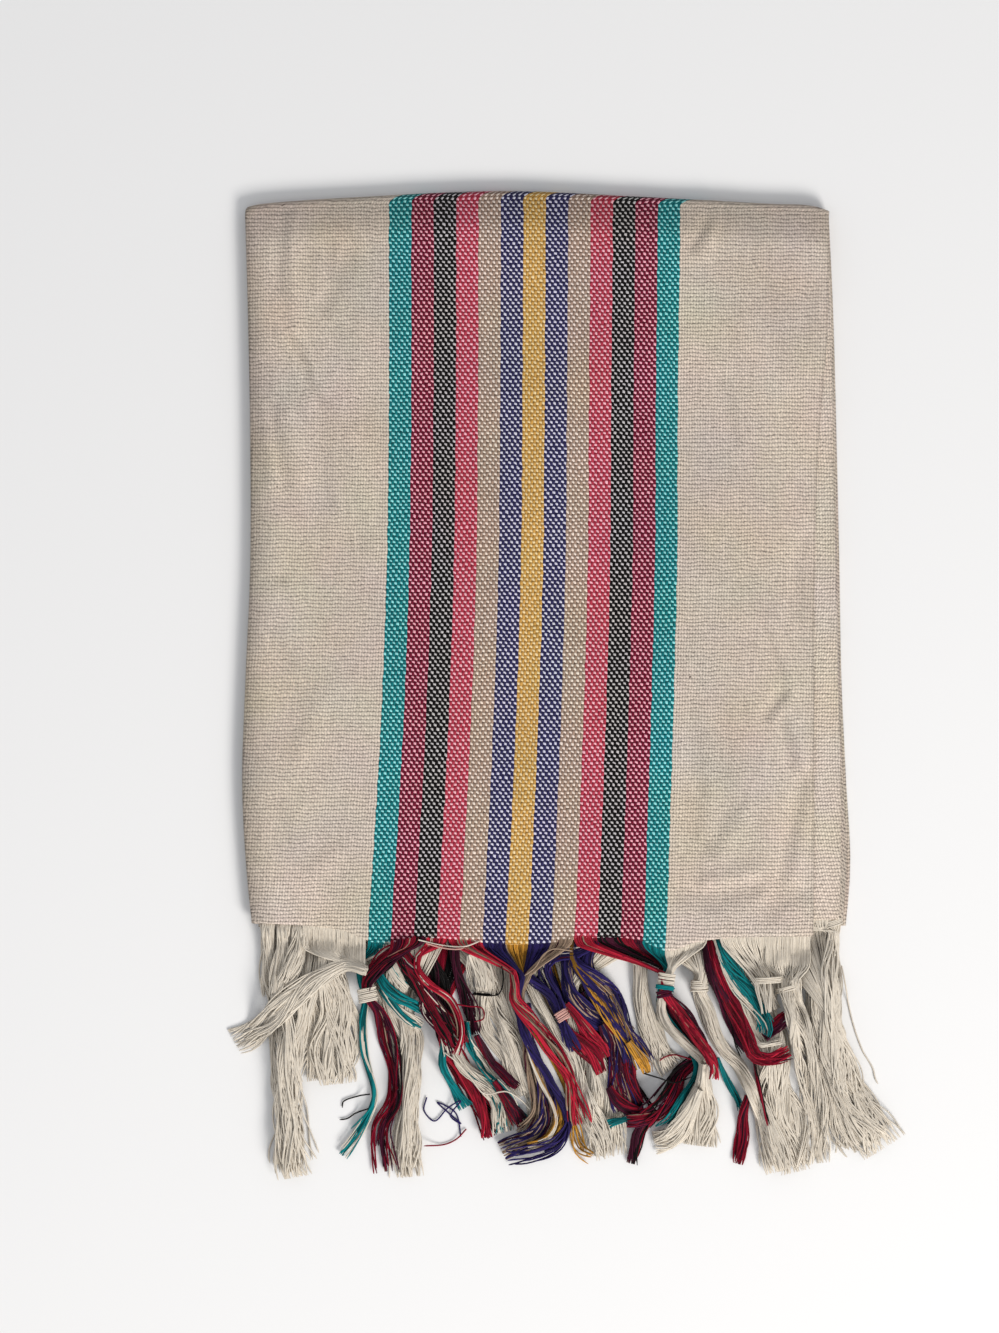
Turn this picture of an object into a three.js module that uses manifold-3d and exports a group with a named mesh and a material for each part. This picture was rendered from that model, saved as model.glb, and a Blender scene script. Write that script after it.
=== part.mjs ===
// A hand-woven cotton hand towel with striped warp and knotted fringes, folded lengthwise and then crosswise.
// Millimetres. X runs across the towel, Y from the fringes towards the top fold, and Z up.
// The lengthwise fold is at the left and the crosswise fold at the top, so both fringed hems and all four
// selvedge lines meet the eye at the bottom and the right. Four layers lie on each other: the top layer and
// the one under it are the front half, and the two below them are the back half.

import * as THREE from "three";
import { mergeVertices } from "three/addons/utils/BufferGeometryUtils.js";
import Module from "manifold-3d";

const wasm = await Module();
wasm.setup();

// The cloth and its layers. A layer's height is from the plane between the two halves to its own middle.
const CLOTH_THICKNESS = 1.1;
const OUTER_LAYER_HEIGHT = 2.85;
const INNER_LAYER_HEIGHT = 1.15;
const HALVES_PLANE = OUTER_LAYER_HEIGHT + CLOTH_THICKNESS / 2;
const FOLD_SWELL = 0.5; // how much the front half's side fold swells upwards
const FOLD_PINCH = 0.2; // how much the inner layers dip beside the side fold
const SWELL_REACH = 9; // how far in from the side fold the swelling dies out
const SIDE_FOLD_DEPTH = 1.0; // from the side fold's outermost line to where its layers run flat
const TOP_TURN = OUTER_LAYER_HEIGHT + CLOTH_THICKNESS / 2; // how far the top fold stands past its start
const FLAT_HEM = 12; // the stretch above a hem over which the top layer's ridges die out

// The edges, at a height above the front hem, as distances from the middle of the folded towel.
const EDGE_COLUMNS = ["up", "frontFold", "frontOuter", "frontInner", "backFold", "backOuter", "backInner"];
const EDGES = table(EDGE_COLUMNS, [
  [-4, -108.4, 101.9, 111.5, -106.5, 113.8, 112.6],
  [28, -111.6, 102.2, 112.4, -108.6, 116.4, 114.8],
  [60, -113.1, 102.3, 112.3, -110.4, 114.8, 113.6],
  [100, -111.8, 102.3, 111.4, -110.2, 113.0, 112.2],
  [140, -110.1, 102.5, 110.5, -109.4, 112.3, 111.4],
  [185, -110.0, 103.9, 109.5, -109.4, 111.3, 110.5],
  [235, -110.9, 107.6, 108.8, -110.4, 110.0, 109.5],
  [283, -112.3, 107.8, 107.2, -112.3, 107.8, 107.2],
]);

// The front of the top fold, and the four hems, at a distance across. A hem dips where yarns pull at it.
const TOP_EDGE = table(["across", "up"], [
  [-113, 276.0],
  [-104, 278.1],
  [-73, 280.4],
  [-14, 283.0],
  [31, 281.1],
  [86, 278.1],
  [100, 277.4],
  [108, 274.2],
]);
const HEM_COLUMNS = ["across", "frontOuter", "frontInner", "backInner", "backOuter"];
const HEMS = table(HEM_COLUMNS, [
  [-110, 6.6, 6.0, 5.0, 4.5],
  [-78, 4.0, 5.2, 4.0, 3.0],
  [-62, -1.6, 4.4, 4.4, 2.2],
  [-44, 0.8, 4.0, 5.2, 3.4],
  [-10, -1.8, 4.8, 4.6, 3.0],
  [22, 1.0, 4.2, 3.8, 4.2],
  [36, 0.0, 4.6, 4.0, 4.4],
  [47, -4.2, 5.0, 4.8, 3.8],
  [58, -0.8, 5.2, 5.0, 3.0],
  [72, 0.8, 6.0, 5.4, 3.6],
  [102, 1.4, 7.6, 6.4, 4.6],
  [117, 1.8, 8.0, 7.0, 5.4],
]);

// Soft swells of the top layer, each a low ridge between two points.
const RIDGE_COLUMNS = ["fromX", "fromY", "toX", "toY", "width", "height"];
const RIDGES = table(RIDGE_COLUMNS, [
  [-100, 150, -96, 200, 9, 0.45],
  [-98, 22, -90, 70, 10, 0.55],
  [60, 262, 68, 278, 6, 0.35],
  [78, 120, 92, 30, 11, 0.6],
  [-30, 40, -40, 120, 16, 0.4],
  [20, 60, 40, 10, 10, 0.45],
  [62, 205, 84, 150, 14, 0.35],
]);

// The fringe. Its backing is a narrow strip of the hem's last picks, parted from the cloth.
const PARTING = 0.42;
const STRIP_DEPTH = 2.6;
const NECK_THICKNESS = 0.8;
const LOCK_THICKNESS = 1.1;
const LOCK_TOP_SHARE = 0.72; // a lock's top is narrower than its underside
const NECK_SPACING = 10; // of the hem that one neck takes up
const MOST_NECKS = 3;
const KNOT_LENGTH = 8.5;
const KNOT_WIDTH = 6.6;
const KNOT_HEIGHT = 3.2;
const KNOT_SIDES = 6;
const KNOT_RINGS = 4;
const NECKS_WIDTH_AT_KNOT = 4.6;
const NECKS_ABOVE_KNOT = 2.6; // from a knot's middle up to where its necks end in it
const KNOT_FOOTING = 6.8; // a knot rests clear of everything this near its middle
const STRAND_SHARE = 0.4; // a strand's half width, as a share of the room it has beside its neighbours
const WIDEST_ROOT = 2.8; // the most of a neck's half width
const ROOT_DEPTH = 0.7; // how far into the strip a neck starts, as a share of its depth
const START_SHARE = 0.3; // the height at which a strand meets its knot, as a share of the knot's
const HIGHEST_START = 0.6; // and the most of it
const LAYER_CLEARANCE = 0.35; // between locks that lie on one another

// Each knot draws together the yarns between rootFrom and rootTo. Rows run from the lowest layer to the top.
const KNOTS = table(["name", "layer", "rootFrom", "rootTo", "x", "y"], [
  ["bottom_cream_left", "backOuter", -104, -68, -95, -27],
  ["bottom_teal_left", "backOuter", -66, -45, -57, -13],
  ["bottom_coral", "backOuter", -43, -23, -43, -33],
  ["bottom_centre", "backOuter", -21, 11, 8, -30],
  ["bottom_indigo", "backOuter", 13, 35, 17, -12],
  ["bottom_teal_right", "backOuter", 37, 74, 68, -17],
  ["bottom_cream_right", "backOuter", 76, 112, 103, -15],
  ["lower_cream_one", "backInner", -103, -76, -84, -31],
  ["lower_cream_two", "backInner", -74, -39, -59, -25],
  ["lower_cream_three", "backInner", -37, -1, -14, -24],
  ["lower_cream_four", "backInner", 1, 41, 28, -24],
  ["lower_cream_five", "backInner", 43, 79, 77, -22],
  ["lower_cream_six", "backInner", 81, 110, 108, -27],
  ["upper_cream_one", "frontInner", -105, -85, -98, -14],
  ["upper_cream_two", "frontInner", -83, -58, -80, -18],
  ["upper_cream_three", "frontInner", -56, -26, -51, -31],
  ["upper_cream_four", "frontInner", -24, 9, -20, -17],
  ["upper_cream_five", "frontInner", 11, 49, 40, -16],
  ["upper_cream_six", "frontInner", 51, 83, 62, -21],
  ["upper_cream_seven", "frontInner", 85, 110, 112, -6],
  ["top_cream_left", "frontOuter", -91, -68, -74, -11],
  ["top_teal_left", "frontOuter", -65, -45, -66, -20],
  ["top_coral", "frontOuter", -43, -37, -42, -13],
  ["top_centre", "frontOuter", -35, 8, -9, -17],
  ["top_teal_right", "frontOuter", 10, 59, 47, -16],
  ["top_cream_right", "frontOuter", 61, 100, 95, -19],
]);

// The tails below the knots: each runs from its knot by a bend and a turn to its end, and fans out to a width.
const TAIL_COLUMNS = ["knot", "bendX", "bendY", "turnX", "turnY", "endX", "endY", "width", "locks"];
const TAILS = table(TAIL_COLUMNS, [
  ["bottom_cream_left", -92, -42, -97, -62, -99, -91, 15, 4],
  ["bottom_teal_left", -52, -24, -45, -30, -42, -41, 7, 3],
  ["bottom_coral", -37, -46, -27, -61, -14, -80, 9, 3],
  ["bottom_centre", 13, -38, 20, -48, 26, -62, 9, 3],
  ["bottom_indigo", 22, -20, 30, -33, 40, -51, 15, 4],
  ["bottom_indigo", 21, -34, 31, -52, 36, -74, 12, 4],
  ["bottom_teal_right", 74, -30, 84, -42, 98, -47, 6, 3],
  ["bottom_cream_right", 106, -42, 114, -60, 129, -84, 16, 4],
  ["lower_cream_one", -83, -46, -86, -62, -91, -92, 13, 4],
  ["lower_cream_two", -54, -40, -56, -60, -49, -95, 13, 4],
  ["lower_cream_three", -10, -40, -4, -54, 2, -70, 13, 4],
  ["lower_cream_four", 30, -42, 26, -60, 20, -82, 14, 4],
  ["lower_cream_five", 84, -44, 90, -62, 97, -90, 15, 4],
  ["lower_cream_six", 110, -44, 116, -60, 131, -82, 15, 4],
  ["upper_cream_one", -98, -34, -99, -55, -95, -96, 15, 5],
  ["upper_cream_two", -76, -32, -72, -46, -68, -62, 16, 5],
  ["upper_cream_three", -51, -44, -49, -60, -47, -96, 12, 4],
  ["upper_cream_four", -18, -30, -12, -43, -3, -57, 14, 5],
  ["upper_cream_five", 41, -28, 45, -40, 51, -52, 9, 3],
  ["upper_cream_six", 65, -36, 74, -54, 94, -90, 11, 4],
  ["upper_cream_seven", 114, -20, 116, -38, 123, -56, 11, 4],
  ["top_cream_left", -85, -15, -98, -24, -120, -42, 13, 5],
  ["top_teal_left", -60, -36, -56, -55, -55, -94, 9, 4],
  ["top_teal_left", -67, -38, -64, -62, -80, -83, 6, 3],
  ["top_coral", -40, -25, -32, -36, -32, -46, 6, 3],
  ["top_centre", 1, -34, 9, -52, 14, -66, 8, 3],
  ["top_centre", -6, -40, 8, -66, -12, -82, 9, 4],
  ["top_teal_right", 54, -34, 63, -52, 60, -80, 12, 4],
  ["top_teal_right", 57, -46, 52, -64, 36, -86, 7, 3],
  ["top_cream_right", 98, -38, 102, -56, 108, -92, 16, 5],
]);
const LOCK_STEPS = 4;
const LOCK_END_SHARE = 0.6; // a lock's width at its frayed end, as a share of the room it has
const LOCK_LENGTH_SPREAD = 0.08; // how unevenly the locks end
const ROOT_SPREAD = 5.2; // the width over which a tail's locks leave the knot
const FRINGE_SEED = 11;

const CREAM = "#d5cbbb";

// A table's rows as objects whose keys are the columns' names.
function table(columns, rows) {
  return rows.map((row) => Object.fromEntries(columns.map((column, i) => [column, row[i]])));
}

// A column of a table at a place along the table's first column, on a smooth curve through its rows.
function lookUp(rows, key, column, place) {
  const last = rows.length - 1;
  let i = rows.findIndex((row) => row[key] > place);
  i = i < 0 ? last : Math.max(i, 1);
  const span = rows[i][key] - rows[i - 1][key];
  const share = THREE.MathUtils.clamp((place - rows[i - 1][key]) / span, 0, 1);
  const value = (k) => rows[THREE.MathUtils.clamp(k, 0, last)][column];
  const slope = (k) => {
    const before = THREE.MathUtils.clamp(k - 1, 0, last);
    const after = THREE.MathUtils.clamp(k + 1, 0, last);
    return ((value(after) - value(before)) / (rows[after][key] - rows[before][key])) * span;
  };
  const s2 = share * share;
  const s3 = s2 * share;
  return (
    value(i - 1) * (2 * s3 - 3 * s2 + 1) +
    slope(i - 1) * (s3 - 2 * s2 + share) +
    value(i) * (3 * s2 - 2 * s3) +
    slope(i) * (s3 - s2)
  );
}

function smooth(share) {
  const s = THREE.MathUtils.clamp(share, 0, 1);
  return s * s * (3 - 2 * s);
}

// A repeatable run of random numbers from 0 to 1.
function randomFrom(seed) {
  let state = seed;
  return () => {
    state = (state * 1664525 + 1013904223) % 4294967296;
    return state / 4294967296;
  };
}

// The height of the top layer's soft ridges at a point.
function ridgeHeight(x, y) {
  let height = 0;
  for (const ridge of RIDGES) {
    const { away } = nearestOnLine(x, y, ridge.fromX, ridge.fromY, ridge.toX, ridge.toY);
    height += ridge.height * Math.exp(-((away / ridge.width) ** 2));
  }
  return height;
}

// How far a point is from a line on the plan, and how far along the line, from 0 to 1, it is nearest.
function nearestOnLine(x, y, x0, y0, x1, y1) {
  const length2 = (x1 - x0) ** 2 + (y1 - y0) ** 2 || 1;
  const along = THREE.MathUtils.clamp(((x - x0) * (x1 - x0) + (y - y0) * (y1 - y0)) / length2, 0, 1);
  const away = Math.hypot(x - x0 - along * (x1 - x0), y - y0 - along * (y1 - y0));
  return { away, along };
}

// Where a section's columns lie: along the outer layer to the side fold, round it, and back along the inner
// one. turn is the angle round the fold, and along is 0 at a selvedge and 1 where the fold starts.
const OUTER_STEPS = 12;
const SIDE_FOLD_STEPS = 6;
const INNER_STEPS = 9;
const SECTION = [];
for (let i = 0; i < OUTER_STEPS; i++) SECTION.push({ turn: 0, along: i / OUTER_STEPS });
for (let i = 0; i <= SIDE_FOLD_STEPS; i++) SECTION.push({ turn: (Math.PI * i) / SIDE_FOLD_STEPS, along: 1 });
for (let i = INNER_STEPS - 1; i >= 0; i--) SECTION.push({ turn: Math.PI, along: i / INNER_STEPS });

// One point of the cloth's middle surface, and the direction of its outer face there.
// front is 1 on the front half and 0 on the back half, and sweep is the angle round the top fold.
function clothPoint(column, up, front, sweep, downFromHem) {
  const inner = column.turn > Math.PI / 2;
  const blend = (frontName, backName, place) =>
    front * lookUp(EDGES, "up", frontName, place) + (1 - front) * lookUp(EDGES, "up", backName, place);
  const edgesAt = (place) => ({
    fold: blend("frontFold", "backFold", place) + SIDE_FOLD_DEPTH,
    selvedge: inner ? blend("frontInner", "backInner", place) : blend("frontOuter", "backOuter", place),
  });
  const across = (edges) =>
    THREE.MathUtils.lerp(edges.selvedge, edges.fold, column.along) - SIDE_FOLD_DEPTH * Math.sin(column.turn);
  // The hem and the top fold are read at the place across that the point has at the middle of the towel.
  const nominal = across(edgesAt(TOP_EDGE[0].up / 2));
  const layer = (front > 0.5 ? "front" : "back") + (inner ? "Inner" : "Outer");
  const hem = hemAt(layer, nominal, column) - downFromHem;
  const top = lookUp(TOP_EDGE, "across", "up", nominal) - TOP_TURN;
  const y = THREE.MathUtils.lerp(hem, top, up);
  const x = across(edgesAt(y));

  const nearFold = smooth(1 - (x - edgesAt(y).fold) / SWELL_REACH);
  const settled = Math.max(Math.cos(sweep), 0);
  const ridges = settled * smooth(y / FLAT_HEM) * ridgeHeight(x, y);
  const outer = OUTER_LAYER_HEIGHT + settled * FOLD_SWELL * nearFold + (inner ? 0 : ridges * (1 - nearFold));
  const under = INNER_LAYER_HEIGHT - FOLD_PINCH * nearFold;
  const height = (outer + under) / 2 + ((outer - under) / 2) * Math.cos(column.turn);
  const point = new THREE.Vector3(x, y + height * Math.sin(sweep), HALVES_PLANE + height * Math.cos(sweep));
  const outwards = Math.cos(column.turn);
  const normal = new THREE.Vector3(
    -Math.sin(column.turn),
    outwards * Math.sin(sweep),
    outwards * Math.cos(sweep),
  );
  return { point, normal };
}

// A hem's place, with the two layers of a half blended into each other round the side fold.
function hemAt(layer, x, column) {
  const half = layer.startsWith("front") ? "front" : "back";
  const outer = lookUp(HEMS, "across", half + "Outer", x);
  const inner = lookUp(HEMS, "across", half + "Inner", x);
  return THREE.MathUtils.lerp(outer, inner, smooth(column.turn / Math.PI));
}

// A closed shell of the cloth's thickness around rows of middle-surface points.
function shellGeometry(rows) {
  const columns = rows[0].length;
  const vertices = [];
  for (const side of [1, -1])
    for (const row of rows)
      for (const { point, normal } of row)
        vertices.push(point.clone().addScaledVector(normal, (side * CLOTH_THICKNESS) / 2));
  const at = (side, r, c) => side * rows.length * columns + r * columns + c;
  const faces = [];
  const quad = (a, b, c, d) => faces.push(a, b, c, a, c, d);
  for (let r = 0; r + 1 < rows.length; r++)
    for (let c = 0; c + 1 < columns; c++) {
      quad(at(0, r, c), at(0, r + 1, c), at(0, r + 1, c + 1), at(0, r, c + 1));
      quad(at(1, r, c), at(1, r, c + 1), at(1, r + 1, c + 1), at(1, r + 1, c));
    }
  const end = rows.length - 1;
  for (let c = 0; c + 1 < columns; c++) {
    quad(at(0, 0, c), at(0, 0, c + 1), at(1, 0, c + 1), at(1, 0, c));
    quad(at(0, end, c + 1), at(0, end, c), at(1, end, c), at(1, end, c + 1));
  }
  const side = columns - 1;
  for (let r = 0; r + 1 < rows.length; r++) {
    quad(at(0, r + 1, 0), at(0, r, 0), at(1, r, 0), at(1, r + 1, 0));
    quad(at(0, r, side), at(0, r + 1, side), at(1, r + 1, side), at(1, r, side));
  }
  return geometryOf(vertices, faces);
}

// A closed body from its corner points and faces, with its faces pointing out.
function geometryOf(vertices, faces) {
  let volume = 0;
  for (let i = 0; i < faces.length; i += 3) {
    const [a, b, c] = faces.slice(i, i + 3).map((k) => vertices[k]);
    volume += a.dot(b.clone().cross(c));
  }
  const turned = volume < 0 ? faces.slice().reverse() : faces;
  const geometry = new THREE.BufferGeometry();
  geometry.setAttribute("position", new THREE.Float32BufferAttribute(vertices.flatMap((v) => v.toArray()), 3));
  geometry.setIndex(turned);
  return geometry;
}

// The cloth: up the front half, over the top fold and down the back half.
const FRONT_STEPS = 13;
const TOP_FOLD_STEPS = 8;
const BACK_STEPS = 8;

function clothGeometry() {
  const rows = [];
  for (let i = 0; i < FRONT_STEPS; i++) rows.push(SECTION.map((c) => clothPoint(c, i / FRONT_STEPS, 1, 0, 0)));
  for (let i = 0; i <= TOP_FOLD_STEPS; i++) {
    const sweep = (Math.PI * i) / TOP_FOLD_STEPS;
    rows.push(SECTION.map((c) => clothPoint(c, 1, (1 + Math.cos(sweep)) / 2, sweep, 0)));
  }
  for (let i = BACK_STEPS - 1; i >= 0; i--)
    rows.push(SECTION.map((c) => clothPoint(c, i / BACK_STEPS, 0, Math.PI, 0)));
  return shellGeometry(rows);
}

// A fringe's backing: the same section as the cloth, just below its hem.
function stripGeometry(front) {
  const sweep = front ? 0 : Math.PI;
  const row = (down) => SECTION.map((c) => clothPoint(c, 0, front, sweep, down));
  return shellGeometry([row(PARTING), row(PARTING + STRIP_DEPTH)]);
}

// The height of what already lies on the surface, kept in small square cells, so that each lock rests on
// the locks under it and on the surface itself where nothing else is.
const CELL = 0.5;
const CELL_REACH = 0.35; // from a cell's middle to its corner
const FIELD = { left: -140, bottom: -112, columns: 570, rows: 256 };
const heaped = new Float32Array(FIELD.columns * FIELD.rows);

// Visits each cell within reach of a line on the plan, with how far along the line it lies.
function cellsAlong(from, to, reach, visit) {
  const columnAt = (x) => THREE.MathUtils.clamp(Math.floor((x - FIELD.left) / CELL), 0, FIELD.columns - 1);
  const rowAt = (y) => THREE.MathUtils.clamp(Math.floor((y - FIELD.bottom) / CELL), 0, FIELD.rows - 1);
  const lastColumn = columnAt(Math.max(from.x, to.x) + reach);
  const lastRow = rowAt(Math.max(from.y, to.y) + reach);
  for (let column = columnAt(Math.min(from.x, to.x) - reach); column <= lastColumn; column++)
    for (let row = rowAt(Math.min(from.y, to.y) - reach); row <= lastRow; row++) {
      const x = FIELD.left + (column + 0.5) * CELL;
      const y = FIELD.bottom + (row + 0.5) * CELL;
      const near = nearestOnLine(x, y, from.x, from.y, to.x, to.y);
      if (near.away <= reach) visit(row * FIELD.columns + column, near.along);
    }
}

function restingHeight(from, to, halfWidth) {
  let highest = 0;
  cellsAlong(from, to, halfWidth + CELL_REACH, (cell) => (highest = Math.max(highest, heaped[cell])));
  return highest > 0 ? highest + LAYER_CLEARANCE : 0;
}

function heapUp(from, to, halfWidth, topFrom, topTo) {
  const slope = Math.abs(topTo - topFrom) / (Math.hypot(to.x - from.x, to.y - from.y) || 1);
  cellsAlong(from, to, halfWidth + CELL_REACH, (cell, along) => {
    const top = THREE.MathUtils.lerp(topFrom, topTo, along) + slope * CELL;
    heaped[cell] = Math.max(heaped[cell], top);
  });
}

// A strand is a run of stations, each a place on the plan with the height of its level underside, a half width
// and a thickness; a square one is cut straight across the hem. A strand settles from its station first on.
function settleStrand(stations, first) {
  for (let i = first; i < stations.length; i++) {
    const here = stations[i];
    const before = stations[Math.max(i - 1, 0)];
    const after = stations[Math.min(i + 1, stations.length - 1)];
    const width = Math.max(before.halfWidth, here.halfWidth, after.halfWidth);
    here.z = Math.max(here.z, restingHeight(before, here, width), restingHeight(here, after, width));
  }
}

function heapStrand(stations) {
  for (let i = 0; i + 1 < stations.length; i++) {
    const [a, b] = [stations[i], stations[i + 1]];
    heapUp(a, b, Math.max(a.halfWidth, b.halfWidth), a.z + a.thickness, b.z + b.thickness);
  }
}

// A strand's four-sided body.
function strandGeometry(stations) {
  const vertices = [];
  stations.forEach((station, i) => {
    const before = stations[Math.max(i - 1, 0)];
    const after = stations[Math.min(i + 1, stations.length - 1)];
    const along = new THREE.Vector2(after.x - before.x, after.y - before.y).normalize();
    if (station.square) along.set(0, -1);
    const corner = (side, top) =>
      new THREE.Vector3(
        station.x - along.y * side * station.halfWidth * (top ? LOCK_TOP_SHARE : 1),
        station.y + along.x * side * station.halfWidth * (top ? LOCK_TOP_SHARE : 1),
        station.z + (top ? station.thickness : 0),
      );
    vertices.push(corner(-1, false), corner(1, false), corner(1, true), corner(-1, true));
  });
  const faces = [0, 2, 1, 0, 3, 2];
  for (let i = 0; i + 1 < stations.length; i++)
    for (let side = 0; side < 4; side++) {
      const a = 4 * i + side;
      const b = 4 * i + ((side + 1) % 4);
      faces.push(a, b, b + 4, a, b + 4, a + 4);
    }
  const last = 4 * (stations.length - 1);
  faces.push(last, last + 1, last + 2, last, last + 2, last + 3);
  return geometryOf(vertices, faces);
}

// The yarns from the backing strip to a knot, in a few flat necks.
const NECK_STEPS = 2;

function neckStations(knot, knotBase) {
  const reach = knot.rootTo - knot.rootFrom;
  const count = THREE.MathUtils.clamp(Math.round(reach / NECK_SPACING), 1, MOST_NECKS);
  const inner = knot.layer.endsWith("Inner");
  const upwards = knot.layer.startsWith("front") ? 1 : -1;
  const layerHeight = upwards * (inner ? INNER_LAYER_HEIGHT : OUTER_LAYER_HEIGHT);
  const rootZ = HALVES_PLANE + layerHeight - NECK_THICKNESS / 2;
  const necks = [];
  for (let k = 0; k < count; k++) {
    const share = (k + 0.5) / count;
    const rootX = THREE.MathUtils.lerp(knot.rootFrom, knot.rootTo, share);
    const hem = hemAt(knot.layer, rootX, { turn: inner ? Math.PI : 0 });
    const rootY = hem - PARTING - STRIP_DEPTH * ROOT_DEPTH;
    const endX = knot.x + (share - 0.5) * NECKS_WIDTH_AT_KNOT;
    const endY = knot.y + NECKS_ABOVE_KNOT;
    const lean = (rootY - endY) / Math.hypot(rootX - endX, rootY - endY);
    const stations = [];
    for (let i = 0; i <= NECK_STEPS; i++) {
      const t = i / NECK_STEPS;
      const room = THREE.MathUtils.lerp(reach, NECKS_WIDTH_AT_KNOT, smooth(t)) / count;
      stations.push({
        x: THREE.MathUtils.lerp(rootX, endX, smooth(t)),
        y: THREE.MathUtils.lerp(rootY, endY, t),
        z: THREE.MathUtils.lerp(rootZ, knotBase + KNOT_HEIGHT * START_SHARE, t),
        halfWidth: Math.min(room * STRAND_SHARE * (i === 0 ? 1 : lean), WIDEST_ROOT),
        thickness: NECK_THICKNESS,
        square: i === 0,
      });
    }
    necks.push(stations);
  }
  return necks;
}

function knotGeometry(knot, base) {
  const ball = new THREE.SphereGeometry(1, KNOT_SIDES, KNOT_RINGS);
  ball.rotateX(Math.PI / 2);
  ball.scale(KNOT_WIDTH / 2, KNOT_LENGTH / 2, KNOT_HEIGHT / 2);
  ball.translate(knot.x, knot.y, base + KNOT_HEIGHT / 2);
  return ball;
}

// The locks of one tail, side by side and fanning out from the knot.
function lockStations(tail, knot, knotBase, random) {
  const path = new THREE.CatmullRomCurve3([
    new THREE.Vector3(knot.x, knot.y, 0),
    new THREE.Vector3(tail.bendX, tail.bendY, 0),
    new THREE.Vector3(tail.turnX, tail.turnY, 0),
    new THREE.Vector3(tail.endX, tail.endY, 0),
  ]);
  const locks = [];
  for (let k = 0; k < tail.locks; k++) {
    const share = (k + 0.5) / tail.locks - 0.5;
    const reach = 1 - LOCK_LENGTH_SPREAD * random();
    const stations = [];
    for (let i = 0; i <= LOCK_STEPS; i++) {
      const t = (i / LOCK_STEPS) * reach;
      const point = path.getPoint(t);
      const along = path.getTangent(t);
      const spread = THREE.MathUtils.lerp(ROOT_SPREAD, tail.width, Math.sqrt(t));
      const halfWidth = (spread / tail.locks) * STRAND_SHARE;
      stations.push({
        x: point.x - along.y * share * spread,
        y: point.y + along.x * share * spread,
        z: i === 0 ? knotBase + KNOT_HEIGHT * START_SHARE : 0,
        halfWidth: i === LOCK_STEPS ? halfWidth * LOCK_END_SHARE : halfWidth,
        thickness: LOCK_THICKNESS,
      });
    }
    locks.push(stations);
  }
  return locks;
}

function solidOf(geometry) {
  const bare = geometry.clone();
  bare.deleteAttribute("normal");
  bare.deleteAttribute("uv");
  const merged = mergeVertices(bare, 1e-4);
  const mesh = new wasm.Mesh({
    numProp: 3,
    vertProperties: merged.attributes.position.array,
    triVerts: new Uint32Array(merged.index.array),
  });
  return new wasm.Manifold(mesh);
}

function geometryFrom(solid) {
  const mesh = solid.getMesh();
  const geometry = new THREE.BufferGeometry();
  geometry.setAttribute("position", new THREE.BufferAttribute(mesh.vertProperties, 3));
  geometry.setIndex(new THREE.BufferAttribute(mesh.triVerts, 1));
  return geometry;
}

// Both fringes, as one solid for each hem. The knots are laid one after another from the lowest layer up.
function fringeGeometries() {
  const random = randomFrom(FRINGE_SEED);
  const solids = { back: solidOf(stripGeometry(0)), front: solidOf(stripGeometry(1)) };
  for (const knot of KNOTS) {
    const end = { x: knot.x, y: knot.y };
    const knotBase = restingHeight(end, end, KNOT_FOOTING);
    const highestStart = knotBase + KNOT_HEIGHT * HIGHEST_START;
    const pieces = [knotGeometry(knot, knotBase)];
    const strands = [];
    for (const stations of neckStations(knot, knotBase)) {
      settleStrand(stations, 1);
      stations.at(-1).z = Math.min(stations.at(-1).z, highestStart);
      strands.push(stations);
    }
    for (const tail of TAILS.filter((row) => row.knot === knot.name))
      for (const stations of lockStations(tail, knot, knotBase, random)) {
        settleStrand(stations, 0);
        stations[0].z = Math.min(stations[0].z, highestStart);
        strands.push(stations);
      }
    strands.forEach(heapStrand);
    heapUp(end, end, KNOT_LENGTH / 2, knotBase + KNOT_HEIGHT, knotBase + KNOT_HEIGHT);
    pieces.push(...strands.map(strandGeometry));
    const half = knot.layer.startsWith("front") ? "front" : "back";
    for (const piece of pieces) solids[half] = solids[half].add(solidOf(piece));
  }
  return { back: geometryFrom(solids.back), front: geometryFrom(solids.front) };
}

function piece(name, geometry, roughness) {
  const material = new THREE.MeshStandardMaterial({ color: CREAM, roughness, metalness: 0 });
  const mesh = new THREE.Mesh(geometry, material);
  mesh.name = name;
  return mesh;
}

const fringes = fringeGeometries();
const towel = new THREE.Group();
towel.add(
  piece("cloth", clothGeometry(), 0.92),
  piece("fringe_front", fringes.front, 0.88),
  piece("fringe_back", fringes.back, 0.88),
);

// The part's origin is under the middle of its box, on the surface that it lies on.
const box = new THREE.Box3().setFromObject(towel);
const middle = box.getCenter(new THREE.Vector3());
towel.position.set(-middle.x, -middle.y, -box.min.z);

export default towel;
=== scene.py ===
"""The looks of a folded hand towel: hand-woven cotton with a striped warp and knotted fringes.

The towel is folded lengthwise, with the fold at the left, and then crosswise, with the fold at the top.
Tables and helpers are in millimetres, measured from the middle of the folded towel's front hem. X runs
across, Y from the fringes towards the top fold, and Z up from the surface the towel lies on.
"""

import math

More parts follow.
